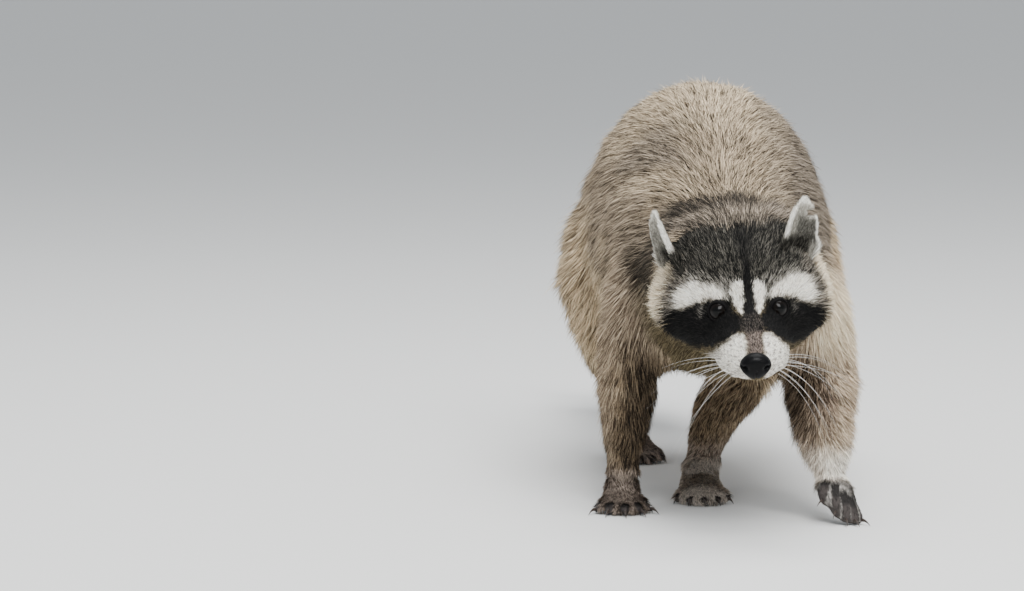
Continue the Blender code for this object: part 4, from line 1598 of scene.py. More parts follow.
def fill(tree: bpy.types.NodeTree, socket: bpy.types.NodeSocket, value: object) -> None:
    """Gives an input a value, or joins another node's socket to it."""
    if isinstance(value, bpy.types.NodeSocket):
        tree.links.new(value, socket)
    else:
        socket.default_value = value


@dataclass(frozen=True)
class Finish:
    """One finish: its gloss, and a colour that noise makes a little darker and lighter.

    A colour of None is the one painted on the piece's own points. wet is the weight and the roughness of a
    clear layer over it, and relief the strength and the depth in metres of its bumps.
    """

    name: str
    roughness: float
    specular: float
    grain: float
    spread: tuple[float, float]
    colour: Colour | None = None
    detail: float = 3.0
    wet: tuple[float, float] = (0.0, 0.03)
    relief: tuple[float, float] | None = None
    pebble: float = 0.0             # the scale of pebbled bumps; 0 raises the noise instead

    def material(self) -> bpy.types.Material:
        """Makes the finish.

        Returns:
            Its material.
        """
        material = bpy.data.materials.new(self.name)
        material.use_nodes = True
        tree = material.node_tree
        inputs = tree.nodes["Principled BSDF"].inputs
        inputs["Roughness"].default_value = self.roughness
        inputs["Specular IOR Level"].default_value = self.specular
        inputs["Coat Weight"].default_value, inputs["Coat Roughness"].default_value = self.wet
        place = add_node(tree, "ShaderNodeTexCoord").outputs["Object"]
        noise = add_node(tree, "ShaderNodeTexNoise", Scale=self.grain, Detail=self.detail, Vector=place)
        low, high = self.spread
        ranged = add_node(tree, "ShaderNodeMapRange", Value=noise.outputs["Fac"], To_Min=low, To_Max=high)
        brightness = ranged.outputs["Result"]
        base = self.base(tree)
        scaled = add_node(tree, "ShaderNodeVectorMath", operation="SCALE", in0=base, Scale=brightness)
        fill(tree, inputs["Base Color"], scaled.outputs["Vector"])
        if self.relief:
            height = noise.outputs["Fac"]
            if self.pebble:
                cells = add_node(tree, "ShaderNodeTexVoronoi", Scale=self.pebble, Vector=place)
                height = cells.outputs["Distance"]
            strength, depth = self.relief
            bump = add_node(tree, "ShaderNodeBump", Strength=strength, Distance=depth, Height=height)
            fill(tree, inputs["Normal"], bump.outputs["Normal"])
        return material

    def base(self, tree: bpy.types.NodeTree) -> bpy.types.NodeSocket:
        """The colour before the noise."""
        if self.colour is None:
            return add_node(tree, "ShaderNodeAttribute", attribute_name=COLOUR_NAME).outputs["Color"]
        plain = add_node(tree, "ShaderNodeRGB").outputs[0]
        plain.default_value = (*self.colour, 1.0)
        return plain


COAT_HAIR = Finish("coat_hair", 0.62, 0.1, 420.0, (0.86, 1.14))
UNDERWOOL = Finish("skin_and_underwool", 0.72, 0.1, 900.0, (0.7, 1.3), detail=4.0, relief=(0.6, 0.0006))
NOSE_LEATHER = Finish(
    "nose_leather", 0.38, 0.07, 300.0, (0.6, 1.6), (0.0022, 0.0022, 0.0025), wet=(0.05, 0.12),
    relief=(0.35, 0.0003), pebble=1300.0,
)
EYE_DARK_BROWN = Finish("eye_dark_brown", 0.3, 0.03, 900.0, (0.75, 1.25), wet=(0.2, 0.03))
CLAW_HORN = Finish("claw_horn", 0.32, 0.5, 500.0, (0.5, 1.5), (0.060, 0.047, 0.040))
WHISKER_BRISTLE = Finish("whisker_bristle", 0.35, 0.5, 200.0, (0.9, 1.05), (0.92, 0.90, 0.86))


# --- the coat ---


class Part(Enum):
    """Which share of its regions a piece of the coat covers."""

    WHOLE = "whole"
    FACE = "face"
    CROWN = "crown"
    LEFT = "left"
    RIGHT = "right"


@dataclass(frozen=True)
class CoatPiece:
    """One mesh of tufts over some regions.

    clump is the width of the locks in millimetres, and gather how far a lock's tips draw together. part says
    which share of the regions the piece covers.
    """

    name: str
    slot: str
    regions: tuple[str, ...]
    tufts: int
    clump: float
    gather: float
    part: Part = Part.WHOLE


COAT: tuple[CoatPiece, ...] = (
    CoatPiece("coat_face", "face_coat", ("head",), 61000, 2.0, 0.18, Part.FACE),
    CoatPiece("coat_crown_and_cheeks", "face_coat", ("head",), 45000, 2.8, 0.22, Part.CROWN),
    CoatPiece("coat_neck", "grizzled_coat", ("neck",), 48000, 3.0, 0.14),
    CoatPiece("coat_chest", "grizzled_coat", ("chest",), 48000, 3.0, 0.14),
    CoatPiece("coat_back_left", "grizzled_coat", ("trunk",), 52000, 3.0, 0.14, Part.LEFT),
    CoatPiece("coat_back_right", "grizzled_coat", ("trunk",), 52000, 3.0, 0.14, Part.RIGHT),
    CoatPiece("coat_rump", "grizzled_coat", ("rump",), 24000, 4.2, 0.24),
    CoatPiece("coat_haunches", "leg_coat", ("thigh_left", "thigh_right"), 33000, 4.6, 0.28),
    CoatPiece("coat_tail", "tail_coat", TAIL_REGIONS, 28000, 6.0, 0.42),
    CoatPiece("coat_forelegs", "leg_coat", ARM_REGIONS, 49000, 3.6, 0.30),
    CoatPiece("coat_shanks", "leg_coat", ("shank_left", "shank_right"), 20000, 4.0, 0.4),
    CoatPiece("coat_paws", "paw_skin", PAW_REGIONS, 28000, 2.4, 0.25),
    CoatPiece("coat_ears", "ear_coat", EAR_REGIONS, 14000, 1.8, 0.2),
)


@dataclass
class Tufts:
    """The root, lie and size of many tufts, and the skin's region weights and coat depth at their roots."""

    roots: Array
    normals: Array
    lie: Array
    length: Array
    width: Array
    lift: Array
    weights: Array
    depth: Array


class Locks:
    """Tufts grouped into locks."""

    def __init__(self, roots: Array, size: float, rng: np.random.Generator) -> None:
        """Groups roots by the cells of a bent grid.

        Args:
            roots: The roots, in millimetres.
            size: The width of a lock, in millimetres.
            rng: The source of the grid's shift.
        """
        bent = roots + size * 0.45 * np.sin(roots[:, [1, 2, 0]] / size * 1.9 + rng.random(3) * 6)
        cells = np.floor(bent / size + rng.random(3)).astype(np.int64)
        _, self.lock = np.unique(cells @ np.array(CELL_KEYS), return_inverse=True)
        self.count = int(self.lock.max()) + 1
        self.members = np.bincount(self.lock, minlength=self.count)

    def mean(self, rows: Array) -> Array:
        """The mean of each lock's rows, given back to its members."""
        sums = [np.bincount(self.lock, column, self.count) / self.members for column in rows.T]
        return np.stack(sums, 1)[self.lock]


class Coat:
    """The fur: joined meshes of thin three-faced blades that follow the lie of the hair.

    Lengths are millimetres and angles degrees, unless they say otherwise.
    """

    mingle = 0.8             # how far colours stray over the edges of markings on middling hair
    guard_share = 0.05       # how many tufts are long pale guard hairs that stand out of the coat
    guard_from = 9.0         # the shortest coat that has them
    guard_length = 1.25
    guard_lift = 8.0
    proud = 4.0              # how far tips may stand out of the solids
    held_back = 0.85         # how much of what is past that is taken away
    clearance = 0.4          # the least height of a tuft over the floor, and the depth of its root
    bare_odds = 0.93         # how many tufts are left out on bare toes
    narrowing = 0.8          # a blade's width half way, as a share of that at its root
    contrast = 1.45          # how far a tuft's own draw counts against the share of pale ones
    pale_width = 0.22        # how wide the step from a dark to a pale tuft is
    dark_tips = 0.52         # how many long hairs end in a dark tip
    face_back = 16.0         # where the face's piece ends on the head: its y and z
    face_foot = -38.0

    def __init__(self, data: SkinData, markings: Markings, toes: Toes) -> None:
        """Takes the skin that the coat grows on.

        Args:
            data: The skin.
            markings: Its colours.
            toes: Where the paws are bare.
        """
        self.data = data
        self.markings = markings
        self.toes = toes
        self.material = COAT_HAIR.material()
        self.face_region = self.data.weights[self.data.faces].sum(1).argmax(1)
        corners = self.data.points[self.data.faces]
        self.face_centre = corners.mean(1)
        cross = np.cross(corners[:, 1] - corners[:, 0], corners[:, 2] - corners[:, 0])
        self.face_area = np.linalg.norm(cross, axis=1) / 2
        self.sway = Waves(11, 24.0)
        self.fine_sway = Waves(12, 7.0)
        self.length_noise = Waves(13, 12.0)

    def chosen(self, piece: CoatPiece) -> Array:
        """The skin's triangles that a piece grows on.

        Args:
            piece: Which piece.

        Returns:
            Their rows.
        """
        wanted = np.isin(self.face_region, [number(name) for name in piece.regions])
        middle = (node_box("trunk")[0][0] + node_box("trunk")[1][0]) / 2
        head = SKULL.inward(self.face_centre)
        face = (head[:, 1] < self.face_back) & (head[:, 2] > self.face_foot)
        left = self.face_centre[:, 0] >= middle
        shares = {Part.LEFT: left, Part.RIGHT: ~left, Part.FACE: face, Part.CROWN: ~face}
        return np.flatnonzero(wanted & shares.get(piece.part, True))

    def rooted(self, piece: CoatPiece, rng: np.random.Generator) -> Tufts:
        """Draws the places of a piece's tufts, more where hair grows thicker or finer.

        Args:
            piece: Which piece.
            rng: The source of the draws.

        Returns:
            The tufts.
        """
        chosen = self.chosen(piece)
        corners = self.data.faces[chosen]
        fineness = 1.0 / np.maximum(self.data.width[corners].mean(1), 0.2) ** 0.7
        odds = self.face_area[chosen] * self.data.growth[corners].mean(1) * fineness
        total = np.cumsum(odds)
        picks = np.searchsorted(total, rng.random(piece.tufts) * total[-1])
        corners = corners[np.minimum(picks, len(chosen) - 1)]
        first, second = rng.random((2, piece.tufts))
        over = first + second > 1
        first[over], second[over] = 1 - first[over], 1 - second[over]
        bary = np.stack([1 - first - second, first, second], 1)

        def read(values: Array) -> Array:
            """Values of the skin at the roots."""
            rows = values[corners]
            return (rows * bary.reshape(bary.shape + (1,) * (rows.ndim - 2))).sum(1)

        tufts = Tufts(
            read(self.data.points), unit(read(self.data.normals)), unit(read(self.data.lie)),
            read(self.data.length), read(self.data.width), read(self.data.lift), read(self.data.weights),
            read(self.data.depth),
        )
        growth = read(self.data.growth)
        keep = growth > 0.12 * rng.random(len(growth)) + 0.02
        if any(name in PAW_REGIONS for name in piece.regions):
            bare, _ = self.toes.bareness(tufts.roots, tufts.weights)
            keep &= rng.random(len(bare)) > bare * self.bare_odds
        return Tufts(*(getattr(tufts, field.name)[keep] for field in fields(Tufts)))

    def blades(self, piece: CoatPiece, seed: int) -> bpy.types.Object:
        """Makes one piece of the coat.

        Args:
            piece: Which piece.
            seed: The seed of its draws.

        Returns:
            Its object, dressed and riding on the body.
        """
        rng = np.random.default_rng(seed)
        tufts = self.rooted(piece, rng)
        count = len(tufts.roots)
        locks = Locks(tufts.roots / MM, piece.clump, rng)
        lock_draw = rng.random((locks.count, 3))[locks.lock]
        guard = (rng.random(count) < self.guard_share) & (tufts.length > self.guard_from)
        middle, tip, side = self.grown(tufts, lock_draw, guard, rng)
        self.gather(piece, tufts, locks, guard, (middle, tip), rng)
        for part, share in ((tip, 1.0), (middle, 0.75)):
            height = ((part - tufts.roots) * tufts.normals).sum(1)
            over = np.maximum(height - (tufts.depth + self.proud) * share * MM, 0.0)
            part -= tufts.normals * (over * self.held_back)[:, None]
        roll = rng.normal(0, 1, count) * (0.3 + 0.35 * ramp(tufts.length, 4.0, 16.0))
        across = side * np.cos(roll)[:, None] + tufts.normals * np.sin(roll)[:, None]
        width = tufts.width * rng.uniform(0.7, 1.3, count) * np.where(guard, 0.6, 1.0) * MM
        half = across * width[:, None] / 2
        slim = half * self.narrowing
        sunk = tufts.roots - tufts.normals * self.clearance * MM
        points = np.stack([sunk - half, sunk + half, middle - slim, middle + slim, tip], 1)
        points[..., 2] = np.maximum(points[..., 2], self.clearance * MM)
        faces = (np.arange(count)[:, None, None] * BLADE_POINTS + BLADE_FACES).reshape(-1, 3)
        obj = object_from_arrays(piece.name, points.reshape(-1, 3), faces)
        seen = mix(tufts.roots, tip, np.full(count, 0.6))
        straying = 0.3 + 0.7 * ramp(tufts.length, 2.8, 5.5) + ramp(tufts.length, 6.0, 14.0)
        seen += rng.normal(0, 1, (count, 3)) * (self.mingle * straying * MM)[:, None]
        colours = self.colours(tufts, seen, guard, lock_draw[:, 2], rng)
        set_colours(obj.data, colours.reshape(-1, 3))
        self.unwrap(obj.data, piece, tufts)
        obj.data.materials.append(self.material)
        return finish_piece(obj, piece.slot)

    def grown(
        self, tufts: Tufts, lock_draw: Array, guard: Array, rng: np.random.Generator
    ) -> tuple[Array, Array, Array]:
        """Points each tuft along the lie of the hair, a little astray, and bends it towards the skin.

        Args:
            tufts: The tufts.
            lock_draw: Numbers from 0 to 1 for each, the same all over a lock.
            guard: Which are guard hairs.
            rng: The source of each tuft's own draws.

        Returns:
            Each blade's middle and tip, in metres, and the way across it.
        """
        count = len(guard)
        spots = tufts.roots / MM
        loose = share_of(tufts.weights, "upper_arm_left", "forearm_left")
        turn = 0.12 * self.sway.at(spots) + 0.10 * self.fine_sway.at(spots)
        turn += rng.normal(0, 1, count) * (0.23 + 0.12 * loose)
        turn += (lock_draw[:, 0] - 0.5) * 0.3
        side = np.cross(tufts.normals, tufts.lie)
        ahead = tufts.lie * np.cos(turn)[:, None] + side * np.sin(turn)[:, None]
        length = tufts.length * rng.uniform(0.72, 1.12, count) * (0.9 + 0.22 * lock_draw[:, 1])
        length *= 1.0 + 0.08 * self.length_noise.at(spots)
        length = np.where(guard, length * self.guard_length, length) * MM
        lift = tufts.lift * rng.uniform(0.75, 1.2, count) + np.where(guard, self.guard_lift, 0.0)
        lift = np.radians(lift)

        def pointing(angle: Array) -> Array:
            """The blade's way at an angle off the skin."""
            return ahead * np.cos(angle)[:, None] + tufts.normals * np.sin(angle)[:, None]

        near, far = pointing(lift * 1.3), pointing(lift * 0.62)
        middle = (near * 0.8 + far * 0.2) * 0.5 * length[:, None]
        tip = (near * 0.5 + far * 0.5) * length[:, None]
        droop = (length / MM / 30.0) ** 2 * 1.6 * MM
        tip[:, 2] -= droop
        middle[:, 2] -= droop * 0.25
        return tufts.roots + middle, tufts.roots + tip, np.cross(tufts.normals, ahead)

    def gather(
        self, piece: CoatPiece, tufts: Tufts, locks: Locks, guard: Array, ends: tuple[Array, Array],
        rng: np.random.Generator,
    ) -> None:
        """Draws the blades of each lock together.

        Args:
            piece: Which piece.
            tufts: The tufts.
            locks: Their locks.
            guard: Which are guard hairs; they gather less.
            ends: The blades' middles and tips, which are moved.
            rng: The source of each tuft's own share.
        """
        pull = piece.gather * np.where(guard, 0.3, 1.0) * rng.uniform(0.5, 1.2, len(guard))
        centre = locks.mean(tufts.roots)
        for points, spread, strength in zip(ends, (0.7, 0.25), (0.5, 1.0)):
            together = centre + locks.mean(points - tufts.roots) + spread * (tufts.roots - centre)
            points[:] = mix(points, together, np.clip(pull * strength, 0, 1))

    def colours(
        self, tufts: Tufts, seen: Array, guard: Array, lock_draw: Array, rng: np.random.Generator
    ) -> Array:
        """The colours of each blade's five points.

        Args:
            tufts: The tufts.
            seen: The middle of the part of each that shows.
            guard: Which are guard hairs.
            lock_draw: A number from 0 to 1 for each, the same all over a lock.
            rng: The source of each tuft's own shade.

        Returns:
            Rows of five colours.
        """
        paint = self.markings.at(Places(seen, tufts.normals, tufts.weights), 1.0)
        bare, _ = self.toes.bareness(tufts.roots, tufts.weights)
        paint.cover(DIGIT, bare)
        shared = 0.10 + 0.14 * ramp(tufts.length, 9.0, 20.0)
        draw = shared * lock_draw + (1.0 - shared) * rng.random(len(lock_draw))
        spread = 0.5 + (draw - 0.5) * self.contrast
        light = ramp(paint.share - spread, -self.pale_width, self.pale_width)
        light = np.where(guard, np.maximum(light, 0.75 * (paint.share > 0.3)), light)
        shade = rng.uniform(0.85, 1.15, len(light))
        main = mix(paint.dark, paint.pale, light) * shade[:, None]
        long_hair = ramp(tufts.length, 9.0, 18.0)
        root = mix(paint.dark, paint.pale, light * (0.8 - 0.45 * long_hair))
        root *= (0.9 - 0.2 * long_hair)[:, None]
        dark_tip = (rng.random(len(light)) < self.dark_tips) * long_hair
        tip = main * mix(np.ones(len(light)), np.full(len(light), 1.12), long_hair)[:, None]
        tip = mix(tip, paint.dark * 1.1, dark_tip * 0.85)
        return np.stack([root, root, main, main, tip], 1)

    def unwrap(self, mesh: bpy.types.Mesh, piece: CoatPiece, tufts: Tufts) -> None:
        """Writes the bake map: a small patch for each tuft at its root's place on the unwrapped skin.

        The skin of each region is unrolled round its own long axis into a tile of the map.

        Args:
            mesh: The piece's mesh.
            piece: Which piece.
            tufts: Its tufts.
        """
        region = tufts.weights[:, [number(name) for name in piece.regions]].argmax(1)
        found = np.unique(region)
        columns = math.ceil(math.sqrt(len(found)))
        place = np.zeros((len(region), 2))
        for tile, name in enumerate(found):
            mine = region == name
            rays = tufts.roots[mine] - tufts.roots[mine].mean(0)
            _, _, axes = np.linalg.svd(rays[:: max(1, len(rays) // 4000)], full_matrices=False)
            own = rays @ axes.T
            round_share = np.arctan2(own[:, 2], own[:, 1]) / (2 * math.pi) + 0.5
            low, high = own[:, 0].min(), own[:, 0].max()
            along = (own[:, 0] - low) / max(high - low, 1e-6)
            corner = np.array((tile % columns, tile // columns))
            place[mine] = (corner + 0.02 + 0.96 * np.stack([round_share, along], 1)) / columns
        place = 0.004 + place * (1.0 - 0.008 - PATCH)
        spots = np.array(((0, 0), (1, 0), (0, 0.5), (1, 0.5), (0.5, 1.0))) * PATCH
        corners = place[:, None, :] + spots[BLADE_FACES.ravel()][None]
        layer = mesh.uv_layers.new(name=BAKE_MAP, do_init=False)
        layer.uv.foreach_set("vector", corners.astype(np.float32).ravel())

    def build(self) -> None:
        """Makes every piece of the coat."""
        for seed, piece in enumerate(COAT, 100):
            obj = self.blades(piece, seed)
            LOG.info("%s: %d triangles", piece.name, len(obj.data.polygons))


# --- eyes and nose ---


@dataclass
class Eyes:
    """Glossy eyeballs with a low clear bulge in front; the iris and the pupil are half angles in degrees."""

    bulge: float = 0.7
    iris: float = 44.0
    pupil: float = 21.0
    bulge_width: float = 26.0
    rings: int = 48
    sides: int = 64

    def build(self, skin: Skin) -> None:
        """Makes both eyeballs in the skin's eye openings."""
        for side in Side:
            centre, ahead, across, above = skin.eye_axes(side)
            rows, colours = [], []
            for ring in range(self.rings + 1):
                lean = math.pi * ring / self.rings
                bulge = self.bulge * math.exp(-((math.degrees(lean) / self.bulge_width) ** 2))
                for turn in range(self.sides):
                    angle = 2 * math.pi * turn / self.sides
                    away = across * math.cos(angle) + above * math.sin(angle)
                    way = ahead * math.cos(lean) + away * math.sin(lean)
                    rows.append(centre + way * (EYE_RADIUS - 0.1 + bulge))
                    colours.append(self.colour(math.degrees(lean), angle))
            faces = ball_faces(self.rings, self.sides)
            obj = object_from_arrays("eyeball_" + side.word, SKULL.outward(np.array(rows)), faces)
            set_colours(obj.data, np.array(colours))
            recalculated(obj.data, POLE_GAP)
            obj.data.materials.append(EYE_DARK_BROWN.material())
            finish_piece(obj, "eye", "eye_" + side.word)

    def colour(self, lean: float, angle: float) -> Colour:
        """The colour of the pupil, the iris or the white.

        Args:
            lean: The angle off the way the eye looks, in degrees.
            angle: The angle round it.

        Returns:
            The colour.
        """
        if lean < self.pupil:
            return (0.002, 0.002, 0.002)
        if lean < self.iris:
            ray = 0.85 + 0.3 * math.sin(angle * 23.0) * math.sin(angle * 9.0 + 1.0)
            share = (lean - self.pupil) / (self.iris - self.pupil)
            dim = (0.7 + 0.6 * share) * ray * (1.0 if share < 0.86 else 0.45)
            return (0.0045 * dim, 0.0028 * dim, 0.0020 * dim)
        return (0.003, 0.0025, 0.0025)


@dataclass
class Nose:
    """The nose pad, with nostrils open to the sides and a groove down the middle."""

    radii: tuple[float, float, float] = (11.4, 7.6, 9.8)
    rings: int = 96
    sides: int = 128
    nostril: tuple[float, float] = (7.6, 1.0)
    nostril_depth: float = 3.8
    bluntness: float = 0.82
    narrowing: float = 0.26      # how much narrower the pad is at its foot

    def build(self) -> None:
        """Makes the nose pad."""
        lean = np.linspace(0, math.pi, self.rings + 1)[:, None]
        angle = np.linspace(0, 2 * math.pi, self.sides, endpoint=False)[None, :]
        x = (np.sin(lean) * np.cos(angle)).ravel()
        z = (np.sin(lean) * np.sin(angle)).ravel()
        y = -np.repeat(np.cos(lean), self.sides, axis=1).ravel()
        wide, deep, high = self.radii
        blunt = np.sign(y) * np.abs(y) ** self.bluntness
        narrow = 1.0 - self.narrowing * ramp(z, 0.25, -1.0)
        spots = np.stack([wide * x * narrow, deep * blunt, high * z], 1)
        facing = ramp(-y, 0.0, 0.35)
        for sign in (side.value for side in Side):
            out = sign * spots[:, 0] - self.nostril[0]
            up = spots[:, 2] - self.nostril[1]
            hole = np.exp(-((out / 2.0) ** 2 + (up / 1.9) ** 2))
            slit = np.exp(-((up - 0.35 * out + 0.2) ** 2)) * ramp(out, -0.5, 2.0) * ramp(out, 7.5, 4.0)
            wing = np.exp(-(((out - 0.5) / 3.4) ** 2 + ((up - 4.0) / 2.6) ** 2))
            sunk = np.maximum(hole, 0.62 * slit) * self.nostril_depth * facing
            spots[:, 1] += sunk - 0.7 * wing * facing
            spots[:, 0] -= sign * 0.35 * sunk * ramp(out, 1.0, 4.0)
        groove = np.exp(-((spots[:, 0] / 0.7) ** 2)) * ramp(spots[:, 2], 2.0, -3.0) * facing
        spots[:, 1] += groove
        faces = ball_faces(self.rings, self.sides)
        obj = object_from_arrays("nose_pad", SKULL.outward(spots + np.array(NOSE_PLACE)), faces)
        recalculated(obj.data, POLE_GAP)
        obj.data.materials.append(NOSE_LEATHER.material())
        finish_piece(obj, "nose_leather", "nose")


# --- whiskers and claws, by geometry nodes ---


@dataclass
class Bristles:
    """Tapered bent rods, one for each row: where it starts, where it points, and how its tip bends."""

    name: str
    thickness: float
    steps: int
    sides: int
    flat: float = 1.0
    taper: float = 0.85

    def tree(self, material: bpy.types.Material) -> bpy.types.NodeTree:
        """Makes the node tree that grows a rod on each point.

        Args:
            material: The rods' finish.

        Returns:
            The tree.
        """
        group = bpy.data.node_groups.new("grow_" + self.name, "GeometryNodeTree")
        group.interface.new_socket("Geometry", in_out="INPUT", socket_type="NodeSocketGeometry")
        for label, kind in (("Thickness", "Float"), ("Steps", "Int"), ("Sides", "Int"), ("Taper", "Float")):
            group.interface.new_socket(label, in_out="INPUT", socket_type="NodeSocket" + kind)
        group.interface.new_socket("Geometry", in_out="OUTPUT", socket_type="NodeSocketGeometry")

        def node(kind: str, **values: object) -> bpy.types.Node:
            """Adds a node to the group."""
            return add_node(group, kind, **values)

        def named(label: str, kind: str) -> bpy.types.NodeSocket:
            """Reads an attribute."""
            return node("GeometryNodeInputNamedAttribute", data_type=kind, Name=label).outputs["Attribute"]

        def maths(operation: str, first: object, second: object, kind: str = "Math") -> bpy.types.NodeSocket:
            """A sum on numbers, or on vectors where kind says so."""
            return node("ShaderNode" + kind, operation=operation, in0=first, in1=second).outputs[0]

        source = node("NodeGroupInput")
        line = node("GeometryNodeCurvePrimitiveLine", End=(1.0, 0.0, 0.0))
        steps = source.outputs["Steps"]
        spaced = node("GeometryNodeResampleCurve", Curve=line.outputs["Curve"], Count=steps).outputs["Curve"]
        shares = node("GeometryNodeSplineParameter").outputs["Factor"]
        store = "GeometryNodeStoreNamedAttribute"
        kept = node(store, domain="POINT", Name="share", Geometry=spaced, Value=shares)
        roots = source.outputs["Geometry"]
        grown = node("GeometryNodeInstanceOnPoints", Points=roots, Instance=kept.outputs["Geometry"])
        real = node("GeometryNodeRealizeInstances", Geometry=grown.outputs["Instances"])
        share = named("share", "FLOAT")
        vectors = "VectorMath"
        bent = maths("MULTIPLY", named("bend", "FLOAT_VECTOR"), maths("MULTIPLY", share, share), vectors)
        straight = maths("MULTIPLY", named("reach", "FLOAT_VECTOR"), share, vectors)
        place = maths("ADD", named("start", "FLOAT_VECTOR"), maths("ADD", straight, bent, vectors), vectors)
        moved = node("GeometryNodeSetPosition", Geometry=real.outputs["Geometry"], Position=place)
        left = maths("SUBTRACT", 1.0, maths("MULTIPLY", share, source.outputs["Taper"]))
        radii = maths("MULTIPLY", left, source.outputs["Thickness"])
        radius = node("GeometryNodeSetCurveRadius", Curve=moved.outputs["Geometry"], Radius=radii)
        ring = node("GeometryNodeCurvePrimitiveCircle", Radius=1.0, Resolution=source.outputs["Sides"])
        squash = node("GeometryNodeTransform", Geometry=ring.outputs["Curve"], Scale=(self.flat, 1.0, 1.0))
        curve, profile = radius.outputs["Curve"], squash.outputs["Geometry"]
        rods = node("GeometryNodeCurveToMesh", Curve=curve, Profile_Curve=profile, Fill_Caps=True)
        if "Scale" in rods.inputs:
            fill(group, rods.inputs["Scale"], node("GeometryNodeInputRadius").outputs["Radius"])
        smooth = node("GeometryNodeSetShadeSmooth", Geometry=rods.outputs["Mesh"])
        last = node("GeometryNodeRealizeInstances", Geometry=smooth.outputs["Geometry"])
        dressed = node("GeometryNodeSetMaterial", Geometry=last.outputs["Geometry"], Material=material)
        node("NodeGroupOutput", Geometry=dressed.outputs["Geometry"])
        return group

    def grow(self, rows: list[Rod], material: bpy.types.Material) -> bpy.types.Object:
        """Makes the rods.

        Args:
            rows: The start, reach and bend of each rod, in metres.
            material: Their finish.

        Returns:
            Their object, a plain mesh.
        """
        mesh = bpy.data.meshes.new(self.name + "_starts")
        mesh.from_pydata([tuple(row[0]) for row in rows], [], [])
        for place, label in enumerate(("start", "reach", "bend")):
            layer = mesh.attributes.new(label, "FLOAT_VECTOR", "POINT")
            layer.data.foreach_set("vector", np.array([row[place] for row in rows], np.float32).ravel())
        holder = linked(self.name + "_starts", mesh)
        modifier = holder.modifiers.new("grow", "NODES")
        group = self.tree(material)
        modifier.node_group = group
        values = dict(Thickness=self.thickness * MM, Steps=self.steps, Sides=self.sides, Taper=self.taper)
        for item in group.interface.items_tree:
            if getattr(item, "in_out", "") == "INPUT" and item.name in values:
                modifier[item.identifier] = values[item.name]
        graph = bpy.context.evaluated_depsgraph_get()
        made = bpy.data.meshes.new_from_object(holder.evaluated_get(graph))
        bpy.data.objects.remove(holder)
        obj = linked(self.name, made)
        for label in ("start", "reach", "bend", "share"):
            if label in made.attributes:
                made.attributes.remove(made.attributes[label])
        recalculated(made)
        return obj


@dataclass
class Whiskers:
    """White whiskers in rows on the pads, with a few over the eyes."""

    thickness: float = 0.09
    rows: int = 3
    in_row: int = 4
    over_eye: int = 2
    seed: int = 31

    def build(self) -> None:
        """Makes the whiskers."""
        rng = np.random.default_rng(self.seed)
        rods = []
        for side in Side:
            flip = np.array((side.value, 1, 1))
            for row in range(self.rows):
                for place in range(self.in_row):
                    back = place / (self.in_row - 1)
                    start = np.array((16.5 + 4.5 * back, -55.0 + 13.0 * back, -14.0 - 3.6 * row)) * flip
                    way = unit(np.array((1.0 - 0.1 * row, -0.3 + 0.5 * back, 0.05 - 0.22 * row)) * flip)
                    way = unit(way + rng.normal(0, 0.09, 3)) * rng.uniform(48, 70)
                    bend = np.array((-9.0, 12.0, 0.0)) * flip * rng.uniform(0.4, 1.2)
                    drop = np.array((0.0, 0.0, -1.0)) * rng.uniform(14.0, 42.0) * MM
                    rods.append(self.rod(start, way, bend, drop))
            for place in range(self.over_eye):
                start = np.array((19.0 + 5 * place, -2.0, 11.0)) * flip
                way = unit(np.array((0.7, -0.5, 0.8)) * flip + rng.normal(0, 0.1, 3)) * rng.uniform(14, 20)
                bend = np.array((4.0, 12.0, -2.0)) * flip
                rods.append(self.rod(start, way, bend, np.zeros(3)))
        obj = Bristles("whiskers", self.thickness, 14, 5).grow(rods, WHISKER_BRISTLE.material())
        finish_piece(obj, "face_coat")

    def rod(self, start: Array, reach: Array, bend: Array, drop: Array) -> Rod:
        """One whisker, from the head's own millimetres and a drop in the frame's metres."""
        return SKULL.outward(start), reach @ SKULL.turn.T * MM, bend @ SKULL.turn.T * MM + drop


@dataclass
class Claws:
    """Twenty curved claws where the CAD's stand."""

    radius: float = 1.5
    hook: float = 0.42

    def build(self) -> None:
        """Makes the claws of each paw as one piece."""
        material = CLAW_HORN.material()
        for limb in ("fore", "hind"):
            for side in Side:
                names = [f"claw_{limb}_{side.word}_{toe}" for toe in range(1, 6)]
                obj = Bristles(f"claws_{limb}_{side.word}", self.radius, 9, 10, 0.75, 0.88).grow(
                    [self.rod(name) for name in names], material
                )
                finish_piece(obj, "claw_horn", *names)

    def rod(self, name: str) -> Rod:
        """A claw's start, reach and bend, from its CAD node's own mesh.

        Args:
            name: The node.

        Returns:
            The rod, in metres.
        """
        points, _ = mesh_arrays(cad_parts[name].data)
        back = points[points[:, 1] > points[:, 1].max() - 0.0012]
        tip = points[np.argmin(points[:, 1])]
        start = back.mean(0)
        whole = tip - start
        length = np.linalg.norm(whole)
        bend = np.array((0.0, 0.0, -self.hook * length))
        return start, whole - bend, bend


# --- the studio ---


@dataclass(frozen=True)
class Lamp:
    """One soft lamp: its place and size in metres and its power in watts."""

    name: str
    place: tuple[float, float, float]
    size: float
    power: float


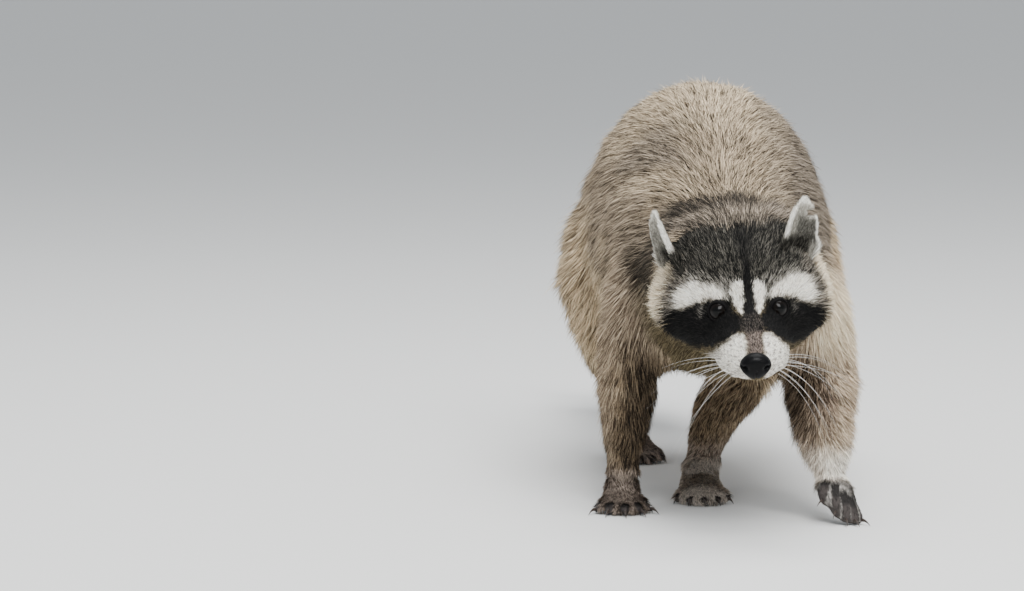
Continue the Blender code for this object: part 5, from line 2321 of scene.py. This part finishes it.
@dataclass
class Studio:
    """A pale floor, soft light and the camera."""

    camera_offset: tuple[float, float, float] = (-0.2695, -3.0480, 0.2950)
    depression: float = 5.33
    heading: float = 1.87
    lens: float = 150.0
    floor_reach: float = 60.0
    floor_colour: Colour = (0.82, 0.82, 0.80)
    sky_colour: Colour = (0.86, 0.90, 0.95)
    sky_strength: float = 0.70
    lamps: tuple[Lamp, ...] = (
        Lamp("key", (0.35, -2.8, 2.7), 1.9, 168.0),
        Lamp("top", (0.2, 0.1, 2.6), 2.0, 62.0),
    )
    lit_height: float = 0.15     # where on the animal the lamps point

    def build(self) -> None:
        """Makes the floor, the lights and the camera."""
        self.floor()
        self.lights()
        data = bpy.data.cameras.new("camera")
        data.lens = self.lens
        data.sensor_width = 36.0
        data.clip_end = 200.0
        camera = linked("camera", data)
        camera.location = Vector(SKULL.origin) + Vector(self.camera_offset)
        camera.rotation_euler = (math.radians(90 - self.depression), 0.0, math.radians(-self.heading))
        bpy.context.scene.camera = camera

    def floor(self) -> None:
        """A wide plain floor."""
        corners = np.array(((-1, -1, 0), (1, -1, 0), (1, 1, 0), (-1, 1, 0))) * self.floor_reach
        obj = object_from_arrays("floor", corners, np.array(((0, 1, 2, 3),)))
        paint = bpy.data.materials.new("floor_paint")
        paint.use_nodes = True
        inputs = paint.node_tree.nodes["Principled BSDF"].inputs
        inputs["Base Color"].default_value = (*self.floor_colour, 1.0)
        inputs["Roughness"].default_value = 0.9
        inputs["Specular IOR Level"].default_value = 0.1
        obj.data.materials.append(paint)

    def lights(self) -> None:
        """A bright even sky, a large soft lamp high up in front and another overhead."""
        world = bpy.data.worlds.new("sky")
        world.use_nodes = True
        sky = world.node_tree.nodes["Background"].inputs
        sky["Color"].default_value = (*self.sky_colour, 1.0)
        sky["Strength"].default_value = self.sky_strength
        bpy.context.scene.world = world
        for lamp in self.lamps:
            light = bpy.data.lights.new(lamp.name, "AREA")
            light.size = lamp.size
            light.energy = lamp.power
            obj = linked(lamp.name, light)
            obj.location = lamp.place
            way = Vector((0, 0, self.lit_height)) - Vector(lamp.place)
            obj.rotation_euler = way.to_track_quat("-Z", "Y").to_euler()


def write_sizes() -> None:
    """Updates the view layer."""
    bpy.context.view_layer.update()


def main() -> None:
    """Builds the raccoon and its studio."""
    logging.basicConfig(level=logging.INFO, format="%(message)s")
    markings = Markings()
    toes = Toes()
    skin = Skin()
    data = skin.build()
    LOG.info("skin: %d triangles", len(data.faces))
    skin.dress(data, markings, toes)
    Eyes().build(skin)
    LOG.info("eyes built")
    Nose().build()
    LOG.info("nose built")
    Claws().build()
    LOG.info("claws built")
    Whiskers().build()
    LOG.info("whiskers built")
    Coat(data, markings, toes).build()
    Studio().build()
    LOG.info("studio built")
    write_sizes()


if __name__ == "__main__":
    main()
